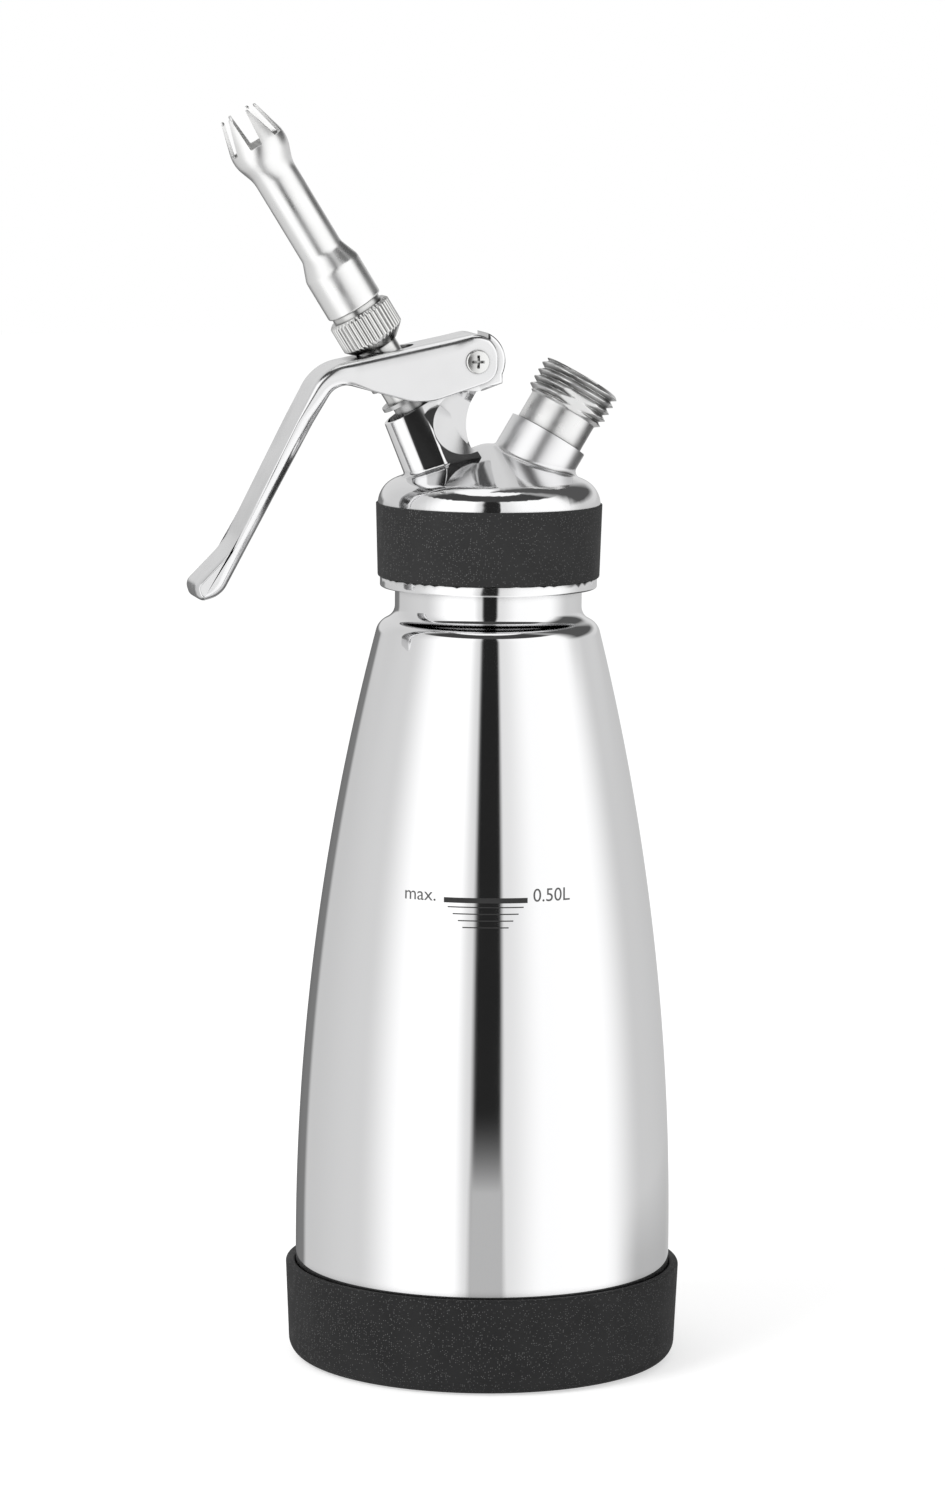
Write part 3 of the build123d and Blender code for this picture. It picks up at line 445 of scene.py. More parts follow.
@dataclass(frozen=True)
class Silicone(Finish):
    """Matte silicone with a fine moulded grain and pale specks of dust."""

    speck_colour: Triple = (0.11, 0.11, 0.11)
    speck_cell: float = 0.4
    speck_reach: float = 0.3
    speck_share: float = 0.6
    haze_size: float = 9.0
    haze_gain: float = 0.15
    specular: float = 0.35
    grain_size: float = 0.3
    grain_lift: float = 0.35
    grain_depth: float = 0.03

    def shade(self, nodes: NodeTree, shader: Node, place: Socket) -> None:
        """Specks are the middles of some cells of a scattered pattern, denser where the haze is strong."""
        haze = nodes.noise(place, self.haze_size)
        cells = nodes.add("TexVoronoi", Vector=place, Scale=1 / (self.speck_cell * MM))
        near = nodes.math("LESS_THAN", cells.outputs["Distance"], self.speck_reach)
        pick = nodes.add("SeparateColor", Color=cells.outputs["Color"]).outputs["Red"]
        hazed = nodes.math("ADD", pick, nodes.math("SUBTRACT", haze, 0.5))
        chosen = nodes.math("GREATER_THAN", hazed, self.speck_share)
        mix = nodes.add("Mix", Factor=nodes.times(near, chosen))
        mix.data_type = "RGBA"
        for socket, colour in zip(mix.inputs[6:8], (self.colour, self.speck_colour)):
            nodes.put(socket, (*colour, 1.0))
        nodes.wire(shader, Base_Color=mix.outputs[2], Specular_IOR_Level=self.specular)
        nodes.clouded(shader, haze, self.roughness, self.roughness + self.haze_gain)
        nodes.grained(shader, place, self.grain_size, self.grain_lift, self.grain_depth, detail=3.0)


@dataclass(frozen=True)
class PrintedInk(Finish):
    """Thin screen-printed ink, slightly uneven."""

    cloud_size: float = 0.8
    cloud_gain: float = 0.2

    def shade(self, nodes: NodeTree, shader: Node, place: Socket) -> None:
        """A cloudy roughness."""
        cloud = nodes.noise(place, self.cloud_size)
        nodes.clouded(shader, cloud, self.roughness, self.roughness + self.cloud_gain)


@dataclass(frozen=True)
class SealRubber(PrintedInk):
    """Plain dark rubber with a soft cloudy bloom."""

    cloud_size: float = 2.0
    grain_size: float = 0.15
    grain_lift: float = 0.2
    grain_depth: float = 0.02

    def shade(self, nodes: NodeTree, shader: Node, place: Socket) -> None:
        """A cloudy roughness and a fine grain."""
        super().shade(nodes, shader, place)
        nodes.grained(shader, place, self.grain_size, self.grain_lift, self.grain_depth)


MIRROR = PolishedSteel("mirror_steel", (0.83, 0.83, 0.835), 0.035)
CAST_MIRROR = CastSteel("cast_mirror_steel", (0.83, 0.83, 0.835), 0.05, 9.0, 0.3)
PRESSED = PolishedSteel("pressed_steel", (0.8, 0.8, 0.805), 0.15, 9.0, 0.3)
BRIGHT = SatinSteel("bright_steel", (0.86, 0.86, 0.855), 0.3, 0.2, 0.002)
# painted shade: a darker steel for the small pieces under the lever, where shade falls
SHADED_STEEL = SatinSteel("shaded_steel", (0.5, 0.5, 0.5), 0.26, 0.15, 0.006, 4.0)
TURNED = SatinSteel("turned_steel", (0.76, 0.76, 0.75), 0.2, 0.15, 0.008, 4.0)
BLASTED = SatinSteel("blasted_steel", (0.78, 0.78, 0.775), 0.3, 0.25, 0.012, 3.0)
WIRE = SatinSteel("spring_wire", (0.55, 0.55, 0.55), 0.3)
BOOT_SILICONE = Silicone("boot_silicone", (0.012, 0.012, 0.0125), 0.6)
COLLAR_SILICONE = Silicone("collar_silicone", (0.024, 0.024, 0.0245), 0.6)
RUBBER = SealRubber("bloomed_rubber", (0.04, 0.04, 0.04), 0.55)
INK = PrintedInk("mark_ink", (0.02, 0.02, 0.02), 0.45)
WORD_INK = PrintedInk("word_ink", (0.1, 0.1, 0.1), 0.45)


def linked(name: str, data: bpy.types.ID) -> Piece:
    """A new object in the scene."""
    piece = bpy.data.objects.new(name, data)
    bpy.context.scene.collection.objects.link(piece)
    return piece


def stand(piece: Piece, axes: Sequence[Array], place: Array) -> None:
    """Give a piece its own X, Y and Z directions and its place in millimetres."""
    matrix = np.eye(4)
    matrix[:3, :3] = np.stack(axes, axis=1)
    matrix[:3, 3] = place * MM
    piece.matrix_world = Matrix(matrix.tolist())


def shown(name: str, mesh: bpy.types.Mesh, sharp: float) -> Piece:
    """Put a mesh into the scene, smooth between edges that turn by more than sharp degrees."""
    mesh.validate()
    mesh.shade_smooth()
    mesh.set_sharp_from_angle(angle=math.radians(sharp))
    return linked(name, mesh)


def clean(mesh: bpy.types.Mesh, turn: bool) -> None:
    """Merge a mesh's doubled points and, if asked, turn its faces outwards."""
    work = bmesh.new()
    work.from_mesh(mesh)
    bmesh.ops.remove_doubles(work, verts=work.verts, dist=MERGED * MM)
    bmesh.ops.dissolve_degenerate(work, edges=work.edges, dist=COLLAPSED * MM)
    if turn:
        bmesh.ops.recalc_face_normals(work, faces=work.faces)
    work.to_mesh(mesh)
    work.free()


def new_mesh(name: str, points: Array, corners: Array, sizes: Array) -> bpy.types.Mesh:
    """A mesh with its faces outwards and its doubles merged.

    Args:
        name: the mesh's name.
        points: its points in millimetres.
        corners: the points' numbers, face after face.
        sizes: each face's count of corners.

    Returns:
        The new mesh.
    """
    mesh = bpy.data.meshes.new(name)
    mesh.vertices.add(len(points))
    mesh.vertices.foreach_set("co", (points * MM).astype(np.float32).ravel())
    mesh.loops.add(len(corners))
    mesh.loops.foreach_set("vertex_index", corners.astype(np.int32))
    mesh.polygons.add(len(sizes))
    mesh.polygons.foreach_set("loop_start", (np.cumsum(sizes) - sizes).astype(np.int32))
    mesh.update(calc_edges=True)
    clean(mesh, turn=True)
    return mesh


def skin(name: str, *grids: Array, wrapped: bool = True, capped: bool = False) -> Piece:
    """A smooth piece from grids of points, with quads between neighbours.

    Args:
        name: the piece's name.
        grids: grids of points in millimetres.
        wrapped: whether a grid's last column joins its first.
        capped: whether one face closes each end row.

    Returns:
        The new piece, with its faces pointing outwards.
    """
    points, corners, sizes, first = [], [], [], 0
    for grid in grids:
        rows, columns = grid.shape[:2]
        index = first + np.arange(rows * columns).reshape(rows, columns)
        right = np.roll(index, -1, axis=1)
        quads = np.stack([index[:-1], right[:-1], right[1:], index[1:]], axis=2)
        quads = quads if wrapped else quads[:, :-1]
        points.append(grid.reshape(-1, 3))
        corners.append(quads.ravel())
        sizes.append(np.full(quads.size // 4, 4))
        if capped:
            corners += [index[0, ::-1], index[-1]]
            sizes.append(np.full(2, columns))
        first += rows * columns
    mesh = new_mesh(name, *(np.concatenate(blocks) for blocks in (points, corners, sizes)))
    return shown(name, mesh, SHARP)


def baked(name: str, piece: Piece) -> bpy.types.Mesh:
    """A piece's mesh as its modifiers leave it, under a new name."""
    bpy.context.view_layer.update()
    mesh = bpy.data.meshes.new_from_object(piece.evaluated_get(bpy.context.evaluated_depsgraph_get()))
    mesh.name = name
    return mesh


def carved(name: str, blank: Piece, cutters: Sequence[Piece], sharp: float) -> Piece:
    """A closed blank less its closed cutters as one new piece; the blank and the cutters go."""
    for cutter in cutters:
        cut = blank.modifiers.new("cut", "BOOLEAN")
        cut.operation = "DIFFERENCE"
        cut.solver = "EXACT"
        cut.object = cutter
    mesh = baked(name, blank)
    for spent in (blank, *cutters):
        bpy.data.objects.remove(spent)
    clean(mesh, turn=False)
    return evened(shown(name, mesh, sharp))


def solid_copy(name: str, node: str, sharp: float) -> Piece:
    """A merged, smooth copy of a solid's mesh."""
    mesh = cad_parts[node].data.copy()
    mesh.name = name
    mesh.materials.clear()
    if mesh.has_custom_normals:
        mesh.normals_split_custom_set([(0.0, 0.0, 0.0)] * len(mesh.loops))
    clean(mesh, turn=False)
    return evened(shown(name, mesh, sharp))


def evened(piece: Piece) -> Piece:
    """Let a piece's normals follow its larger faces."""
    weigh = piece.modifiers.new("even_normals", "WEIGHTED_NORMAL")
    weigh.keep_sharp = True
    weigh.weight = NORMAL_WEIGHT
    return piece


class SubAssembly(ABC):
    """A group of pieces that are built and dressed together."""

    @abstractmethod
    def build(self) -> None:
        """Make the pieces and dress them."""

    def dress(self, piece: Piece, finish: Finish, body: Body, slot: Slot, *nodes: str) -> None:
        """Finish a new piece, let it ride on its body and stand for its solids."""
        piece.data.materials.clear()
        piece.data.materials.append(finish.material())
        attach(piece, body.value)
        if nodes:
            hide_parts(*nodes)
        LOG.info("%s: %d faces on %s", piece.name, len(piece.data.polygons), body.value)

    def coat(self, finish: Finish, *nodes: str) -> None:
        """Give solids that stay as they are a finish."""
        for node in nodes:
            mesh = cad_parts[node].data
            mesh.materials.clear()
            mesh.materials.append(finish.material())
            LOG.info("%s: %s", node, finish.name)


@dataclass
class Bottle(SubAssembly):
    """The flask and the boot that it stands in."""

    foot_z: float = 3.0
    radius: float = 43.3
    wall: float = 1.0
    corner: float = 7.3
    punt_radius: float = 33.0
    punt_rise: float = 3.5
    punt_points: int = 30
    arc_start_z: float = 28.0
    arc_radius: float = 572.0
    arc_end_z: float = 166.2
    shoulder_run: float = 4.6
    shoulder_round: float = 4.0
    neck_radius: float = 21.4
    neck_foot_z: float = 172.7
    neck_round: float = 3.4
    neck_step: float = 0.4
    rim_z: float = 191.0
    rim_round: float = 0.45
    rim_step: float = 0.3
    rim_gap: float = 0.2
    thread_low_z: float = 182.0
    thread_high_z: float = 190.2
    thread_pitch: float = 3.0
    thread_rise: float = 1.0
    thread_runout: float = 1.2
    step: float = 1.0
    inner_skip: int = 4
    segments: int = 232
    boot_floor: float = 3.0
    boot_foot_radius: float = 44.6
    boot_foot_round: float = 4.0
    boot_rim_radius: float = 45.6
    boot_rim_z: float = 22.2
    boot_rim_round: float = 0.7
    boot_inner_round: float = 6.5
    boot_fit: float = 0.1
    boot_step: float = 2.0
    boot_segments: int = 160

    def side_radius(self, z: Array | float) -> Array:
        """Radius of the arched side at a height: R0 - R + sqrt(R^2 - (z - z0)^2)."""
        rise = np.maximum(np.asarray(z, float) - self.arc_start_z, 0.0)
        return self.radius - self.arc_radius + np.sqrt(self.arc_radius**2 - rise**2)

    def outer_path(self) -> Array:
        """The flask's outside from the middle of its punt up to its rim."""
        dome = (self.punt_radius**2 + self.punt_rise**2) / (2 * self.punt_rise)
        spread = math.degrees(math.asin(self.punt_radius / dome))
        centre = (0.0, self.foot_z + self.punt_rise - dome)
        punt = arc_path(centre, dome, 90.0, 90.0 - spread, self.punt_points)
        foot_corner = (self.radius, self.foot_z, self.corner)
        foot = rounded_path(
            [(self.punt_radius, self.foot_z), foot_corner, (self.radius, self.arc_start_z)], self.step
        )
        heights = np.arange(self.arc_start_z, self.arc_end_z, self.step)
        side = np.stack([self.side_radius(heights), heights], axis=1)
        lean = math.asin((self.arc_end_z - self.arc_start_z) / self.arc_radius)
        end = np.array([self.side_radius(self.arc_end_z), self.arc_end_z])
        shoulder = end + self.shoulder_run * np.array([-math.sin(lean), math.cos(lean)])
        neck = rounded_path(
            [
                end,
                (*shoulder, self.shoulder_round),
                (self.neck_radius, self.neck_foot_z, self.neck_round),
                (self.neck_radius, self.rim_z - self.rim_round),
            ],
            self.neck_step,
        )
        return np.concatenate([punt, foot[1:], side[1:], neck])

    def thread(self, profile: Array, angles: Array) -> Array:
        """A rolled thread: a raised cosine that climbs one pitch a turn, faded in and out at its ends."""
        z = profile[:, 1:]
        climb = z / self.thread_pitch - angles / (2 * np.pi)
        fade_in = np.clip((z - self.thread_low_z) / self.thread_runout, 0.0, 1.0)
        fade_out = np.clip((self.thread_high_z - z) / self.thread_runout, 0.0, 1.0)
        outside = profile[:, :1] > self.neck_radius - self.wall / 2
        return outside * self.thread_rise * fade_in * fade_out * (0.5 + 0.5 * np.cos(2 * np.pi * climb))

    def flask_profile(self) -> Array:
        """The outside, the rolled rim and the inside, which lies one wall further in along the normals."""
        outer = self.outer_path()
        ways = unit(np.gradient(outer, axis=0))
        normals = np.stack([ways[:, 1], -ways[:, 0]], axis=1)
        inner = (outer - normals * self.wall)[:: -self.inner_skip]
        inner[:, 0] = np.maximum(inner[:, 0], 0.0)
        inner[-1, 0] = 0.0
        neck_inner, low = self.neck_radius - self.wall, self.rim_z - self.wall
        rim = rounded_path(
            [
                (self.neck_radius, self.rim_z - self.rim_round),
                (self.neck_radius, self.rim_z, self.rim_round),
                (neck_inner, self.rim_z, self.rim_round),
                (neck_inner, low),
            ],
            self.rim_step,
        )
        return np.concatenate([outer, rim[1:], inner[inner[:, 1] < low - self.rim_gap]])

    def boot_profile(self) -> Array:
        """The boot's closed outline, from the middle of its underside round to its inside."""
        inner = self.radius + self.boot_fit
        return rounded_path(
            [
                (0.0, 0.0),
                (self.boot_foot_radius, 0.0, self.boot_foot_round),
                (self.boot_rim_radius, self.boot_rim_z, self.boot_rim_round),
                (inner, self.boot_rim_z, self.boot_rim_round),
                (inner, self.boot_floor, self.boot_inner_round),
                (0.0, self.boot_floor),
            ],
            self.boot_step,
        )

    def build(self) -> None:
        """The flask with its thread, and the boot."""
        flask = skin("flask_skin", turned_grid(self.flask_profile(), self.segments, self.thread))
        self.dress(flask, MIRROR, Body.FLASK, Slot.POLISHED, "flask")
        boot = skin("boot_skin", turned_grid(self.boot_profile(), self.boot_segments))
        self.dress(boot, BOOT_SILICONE, Body.FLASK, Slot.SILICONE, "base_boot")


@dataclass
class FillMark(SubAssembly):
    """The printed fill mark on the flask's front: a bar, thinning lines under it and its two words."""

    bottle: Bottle
    facing: float = 13.0
    bar_z: float = 112.0
    bar_width: float = 19.0
    bar_height: float = 1.15
    bar_grid: tuple[int, int] = (24, 3)
    line_widths: tuple[float, ...] = (17.2, 14.9, 12.5, 10.4)
    line_height: float = 0.25
    line_spacing: float = 1.5
    proud: float = 0.02
    words: tuple[tuple[str, float], ...] = (("max.", -15.2), ("0.50L", 15.3))
    word_z: float = 112.9
    cap_height: float = 2.9
    cap_share: float = 0.7

    def wrap(self, across: Array, z: Array) -> Array:
        """Flat points laid round the flask: across becomes an angle of across over the radius."""
        radius = self.bottle.side_radius(z)
        return round_points(radius + self.proud, math.radians(-90.0 - self.facing) + across / radius, z)

    def bar(self, width: float, middle_z: float, height: float) -> Array:
        """A grid of points for one bar, width by height about its middle."""
        columns, rows = (np.linspace(-0.5, 0.5, count) for count in self.bar_grid)
        return self.wrap(*np.meshgrid(width * columns, middle_z + height * rows))

    def word(self, text: str, middle: float) -> Piece:
        """One word as a mesh on the flask, with its middle at a distance along the mark."""
        curve = bpy.data.curves.new("word", "FONT")
        curve.body = text
        curve.size = self.cap_height / self.cap_share
        curve.align_x = curve.align_y = "CENTER"
        holder = linked("word", curve)
        name = "mark_" + "".join(filter(str.isalnum, text.lower()))
        mesh = baked(name, holder)
        bpy.data.objects.remove(holder)
        flat = np.zeros(len(mesh.vertices) * 3, np.float32)
        mesh.vertices.foreach_get("co", flat)
        across, z = flat.reshape(-1, 3)[:, :2].T
        points = self.wrap(across + middle, z + self.word_z) * MM
        mesh.vertices.foreach_set("co", points.astype(np.float32).ravel())
        mesh.update()
        return shown(name, mesh, sharp=180.0)

    def build(self) -> None:
        """The bars as one piece and each word as a piece."""
        bars = [self.bar(self.bar_width, self.bar_z, self.bar_height)]
        for number, width in enumerate(self.line_widths, start=1):
            bars.append(self.bar(width, self.bar_z - number * self.line_spacing, self.line_height))
        self.dress(skin("mark_bars", *bars, wrapped=False), INK, Body.FLASK, Slot.POLISHED)
        for text, middle in self.words:
            self.dress(self.word(text, middle), WORD_INK, Body.FLASK, Slot.POLISHED)


@dataclass
class Head(SubAssembly):
    """The cast head, the flanks of its arm and the silicone collar round it."""

    collar_inner: float = 23.92
    collar_lip_radius: float = 25.52
    collar_lip: float = 1.0
    collar_low_radius: float = 25.4
    collar_high_radius: float = 25.9
    collar_low_z: float = 181.4
    collar_high_z: float = 198.2
    collar_round: float = 0.5
    collar_top_round: float = 0.15
    collar_step: float = 1.2
    collar_segments: int = 160
    casting_sharp: float = 28.0
    tower: Axis = STEM
    flank_start: float = -0.7
    flank_width: float = 6.0
    flank_root: float = 2.0
    flank_angle: float = 11.0
    flank_sharp: float = 12.0
    flank_outline: tuple[Pair, ...] = (
        (-16.7, 218.9), (-15.9, 219.8), (-15.0, 220.4), (-13.2, 221.0), (-10.5, 219.0), (-8.5, 214.5),
        (-6.0, 211.5), (-4.4, 210.5), (-3.45, 209.0), (-2.06, 207.5), (-0.38, 206.2), (-0.3, 203.5),
        (-9.5, 203.5), (-11.8, 207.0), (-13.0, 210.0), (-13.8, 213.0), (-14.6, 215.6),
    )
    dish_place: Pair = (-7.7, 216.9)
    dish_radius: float = 7.0
    dish_slope: float = 30.0
    dish_past: float = 2.0
    dish_floor: float = 0.2
    dish_segments: int = 120
    pocket_radius: float = 5.35
    pocket_reach: Pair = (-45.0, -15.0)
    pocket_segments: int = 72

    def flank_half(self, x: Array | float, z: Array | float) -> Array:
        """The arm's half width: it grows with the way behind the tower's axis, by the angle's tangent."""
        lean = math.radians(self.tower.tilt)
        origin_x, _, origin_z = self.tower.origin
        behind = (x - origin_x) * math.cos(lean) - (z - origin_z) * math.sin(lean)
        return self.flank_width + (behind - self.flank_start) * math.tan(math.radians(self.flank_angle))

    def dish_rings(self) -> Array:
        """A cone square to the flank, whose section by the flank is the crescent's circle."""
        back, side, along = self.tower.ways()
        flare, slope = math.radians(self.flank_angle), math.tan(math.radians(self.dish_slope))
        across = math.cos(flare) * back + math.sin(flare) * side
        out = math.cos(flare) * side - math.sin(flare) * back
        circle = polar(1.0, full_turn(self.dish_segments)) @ np.stack([across, along])
        depths = np.array([self.dish_past, self.dish_floor - self.dish_radius * slope])[:, None, None]
        x, z = self.dish_place
        middle = np.array([x, self.flank_half(x, z), z])
        return middle + depths * out + (self.dish_radius + depths / slope) * circle

    def pocket_rings(self) -> Array:
        """Two circles about the tower's axis, which keep the flanks out of the valve's pocket."""
        circle = polar(self.pocket_radius, full_turn(self.pocket_segments))
        return self.tower.place(prism(circle, *self.pocket_reach))

    def flank(self, name: str, side: float) -> Piece:
        """One flank of the arm behind the tower, with the crescent hollow cut into it."""
        x, z = np.array(self.flank_outline).T
        turned = np.array([1.0, side, 1.0])
        halves = (np.full_like(x, self.flank_root), self.flank_half(x, z))
        rings = np.stack([np.stack([x, half, z], axis=1) for half in halves])
        blank = skin(name + "_blank", rings * turned, capped=True)
        dish = skin(name + "_dish", self.dish_rings() * turned, capped=True)
        pocket = skin(name + "_pocket", self.pocket_rings(), capped=True)
        return carved(name, blank, [dish, pocket], self.flank_sharp)

    def collar_profile(self) -> Array:
        """The collar's closed outline, with a lip that stands round the head's edge."""
        lip_z = self.collar_high_z - self.collar_lip
        return rounded_path(
            [
                (self.collar_inner, self.collar_low_z),
                (self.collar_low_radius, self.collar_low_z, self.collar_round),
                (self.collar_high_radius, self.collar_high_z, self.collar_top_round),
                (self.collar_lip_radius, self.collar_high_z),
                (self.collar_lip_radius, lip_z),
                (self.collar_inner, lip_z),
                (self.collar_inner, self.collar_low_z),
            ],
            self.collar_step,
        )

    def build(self) -> None:
        """The polished casting with its flanks, the collar and the gasket under it."""
        casting = solid_copy("head_casting", "head_body", self.casting_sharp)
        self.dress(casting, CAST_MIRROR, Body.HEAD, Slot.POLISHED, "head_body")
        for name, side in (("arm_flank_near", -1.0), ("arm_flank_far", 1.0)):
            self.dress(self.flank(name, side), CAST_MIRROR, Body.HEAD, Slot.POLISHED)
        collar = skin("collar_skin", turned_grid(self.collar_profile(), self.collar_segments))
        self.dress(collar, COLLAR_SILICONE, Body.HEAD, Slot.SILICONE, "collar_grip")
        self.coat(RUBBER, "head_gasket")


@dataclass
class LeverUnit(SubAssembly):
    """The lever, its hinge pin and the cross-recess screw that closes the pin.

    Each row of the outline has a corner's X, Z and radius, and the inset and reach of the edge's round there.
    """

    pivot: Pair = (-4.74, 230.94)
    half_width: float = 7.5
    cheek: float = 1.2
    plate: float = 2.0
    plate_slope: float = 12.0
    plate_height: float = 6.3
    plate_end_x: float = -2.6
    outline: tuple[tuple[float, ...], ...] = (
        (-20.0, 234.14, 0.0, 3.2, 2.2),
        (-33.0, 231.37, 0.0, 3.2, 2.2),
        (-40.2, 229.84, 11.0, 1.8, 1.6),
        (-46.45, 217.5, 0.0, 0.45, 0.45),
        (-60.6, 189.3, 18.0, 0.45, 0.45),
        (-69.5, 180.7, 2.4, 0.9, 3.4),
        (-68.4, 176.8, 2.0, 1.2, 3.4),
        (-62.9, 178.2, 6.0, 2.6, 4.0),
        (-56.53, 190.0, 0.0, 3.4, 4.2),
        (-41.97, 217.0, 0.0, 3.4, 4.2),
        (-36.9, 226.4, 4.5, 1.6, 1.6),
        (-29.0, 224.31, 0.0, 0.5, 0.5),
        (-17.2, 221.2, 16.0, 0.5, 0.5),
        (0.2, 226.9, 4.6, 0.6, 0.6),
        (0.2, 238.43, 5.4, 1.0, 1.0),
        (-10.0, 236.26, 0.0, 3.2, 2.2),
        (-20.0, 234.14, 0.0, 3.2, 2.2),
    )
    outline_step: float = 1.0
    edge_rows: int = 13
    sharp: float = 32.0
    channel_left: Pair = (-34.0, 3.0)
    channel_low: Pair = (-36.2, 222.0)
    channel_past: float = 60.0
    slot_reach: Pair = (-31.2, -18.1)
    slot_half_width: float = 4.6
    slot_points: int = 25
    hinge_radius: float = 2.06
    hinge_segments: int = 48
    head_radius: float = 2.7
    head_thick: float = 0.7
    head_round: float = 0.4
    crown: float = 0.25
    recess_arm: float = 1.5
    recess_width: float = 0.62
    recess_depth: float = 0.85
    recess_floor: float = 0.55
    shank_radius: float = 1.23
    shank_length: float = 9.0
    screw_segments: int = 192
    screw_rows: tuple[int, int, int] = (4, 8, 7)

    def plate_top(self, x: float) -> float:
        """Height of the plate's upper side: a straight line past the pivot at the plate's slope."""
        lean = math.radians(self.plate_slope)
        foot_x = self.pivot[0] - self.plate_height * math.sin(lean)
        return self.pivot[1] + self.plate_height * math.cos(lean) + (x - foot_x) * math.tan(lean)

    def blank_rings(self) -> Array:
        """Rings of the lever's outline from the far side to the near side, with an oval round at every edge.

        An edge's point at an angle t from the wall lies a (1 - cos t) inside the outline and b (1 - sin t)
        short of the side's face, where the round's inset a and its reach b run evenly from corner to corner.
        """
        corners = np.array(self.outline)
        path = rounded_path(corners[:, :3], self.outline_step)[:-1]
        walked = np.append(0.0, np.cumsum(lengths(path)))
        nearest = np.argmin(np.linalg.norm(path[:, None] - corners[None, :-1, :2], axis=2), axis=0)
        stations = np.append(walked[nearest], walked[-1] + np.linalg.norm(path[-1] - path[0]))
        inset = np.interp(walked, stations, corners[:, 3])[:, None]
        reach = np.interp(walked, stations, corners[:, 4])
        way = unit(np.roll(path, -1, axis=0) - np.roll(path, 1, axis=0))
        inwards = np.stack([-way[:, 1], way[:, 0]], axis=1)
        turns = np.radians(np.linspace(90.0, 0.0, self.edge_rows))[:, None, None]
        rim = path + inwards * inset * (1 - np.cos(turns))
        short = reach * (1 - np.sin(turns[:, :, 0]))
        far = np.stack([rim[:, :, 0], self.half_width - short, rim[:, :, 1]], axis=2)
        return np.concatenate([far, far[::-1] * np.array([1.0, -1.0, 1.0])])

    def across(self, outline: Array, half: float) -> Array:
        """Two rings of an outline in the lever's plane, half a width to either side."""
        return prism(outline, -half, half)[:, :, [0, 2, 1]]

    def channel(self) -> Array:
        """The outline of the room under the plate, which runs out past the lever behind and below."""
        drop = self.plate / math.cos(math.radians(self.plate_slope))
        left_x, left_round = self.channel_left
        low_x, knee_z = self.channel_low
        past, end_x = self.channel_past, self.plate_end_x
        corners = [
            (past, knee_z - past),
            (past, knee_z + past),
            (end_x, knee_z + past),
            (end_x, self.plate_top(end_x) - drop),
            (left_x, self.plate_top(left_x) - drop, left_round),
            (low_x, knee_z),
            (low_x, knee_z - past),
        ]
        return rounded_path(corners, past)

    def slot_rings(self) -> Array:
        """The stem's slot, two half circles joined by straight sides, square to the plate's slope."""
        left, right = self.slot_reach
        middle = (left + right) / 2
        half = (right - left) / 2 / math.cos(math.radians(self.plate_slope)) - self.slot_half_width
        end = arc_path((half, 0.0), self.slot_half_width, -90.0, 90.0, self.slot_points)
        seat = Axis((middle, 0.0, self.plate_top(middle)), -self.plate_slope)
        return seat.place(prism(np.concatenate([end, -end]), -2 * self.plate, 2 * self.plate))

    def cutters(self) -> list[Piece]:
        """The channel under the plate, the stem's slot in the plate and the hinge's hole."""
        circle = np.array(self.pivot) + polar(self.hinge_radius, full_turn(self.hinge_segments))
        rings = {
            "channel": self.across(self.channel(), self.half_width - self.cheek),
            "slot": self.slot_rings(),
            "hinge": self.across(circle, 2 * self.half_width),
        }
        return [skin(name, ring, capped=True) for name, ring in rings.items()]

    def recess_edge(self, angles: Array) -> Array:
        """The cross's outline as a radius: the nearer of an arm's end and an arm's side, in each quarter."""
        turned = np.abs(np.remainder(angles + np.pi / 4, np.pi / 2) - np.pi / 4)
        side = self.recess_width / 2 / np.maximum(np.sin(turned), TINY)
        return np.minimum(self.recess_arm / np.cos(turned), side)

    def screw_grid(self) -> Array:
        """Rings from the recess's floor over its wall, the crowned face and the rounded rim to the shank."""
        angles = full_turn(self.screw_segments)
        edge = self.recess_edge(angles)
        flat = self.head_radius - self.head_round
        floor_rows, face_rows, rim_rows = self.screw_rows
        floor = self.recess_floor * edge * np.linspace(0.0, 1.0, floor_rows)[:, None]
        face = edge + (flat - edge) * np.linspace(0.0, 1.0, face_rows)[:, None]
        rim_centre = (flat, self.head_thick - self.head_round)
        rim = arc_path(rim_centre, self.head_round, 90.0, 0.0, rim_rows)[1:]
        radii = (self.head_radius, self.shank_radius, self.shank_radius, 0.0)
        under = np.stack([radii, np.repeat([0.0, -self.shank_length], 2)], axis=1)
        plain = np.concatenate([rim, under])[:, :, None] + np.zeros_like(angles)
        floor_height = np.full_like(floor, self.head_thick + self.crown - self.recess_depth)
        face_height = self.head_thick + self.crown * (1 - (face / flat) ** 2)
        radius = np.concatenate([floor, face, plain[:, 0]])
        height = np.concatenate([floor_height, face_height, plain[:, 1]])
        x, z, depth = np.moveaxis(round_points(radius, angles, height), 2, 0)
        return np.stack([self.pivot[0] + x, -self.half_width - depth, self.pivot[1] + z], axis=2)

    def build(self) -> None:
        """The pressed lever, the screw and the pin."""
        blank = skin("lever_blank", self.blank_rings(), capped=True)
        lever = carved("lever_skin", blank, self.cutters(), self.sharp)
        self.dress(lever, PRESSED, Body.LEVER, Slot.POLISHED, "lever")
        self.dress(skin("hinge_screw", self.screw_grid()), TURNED, Body.LEVER, Slot.POLISHED, "pivot_screw")
        self.coat(TURNED, "pivot_barrel")


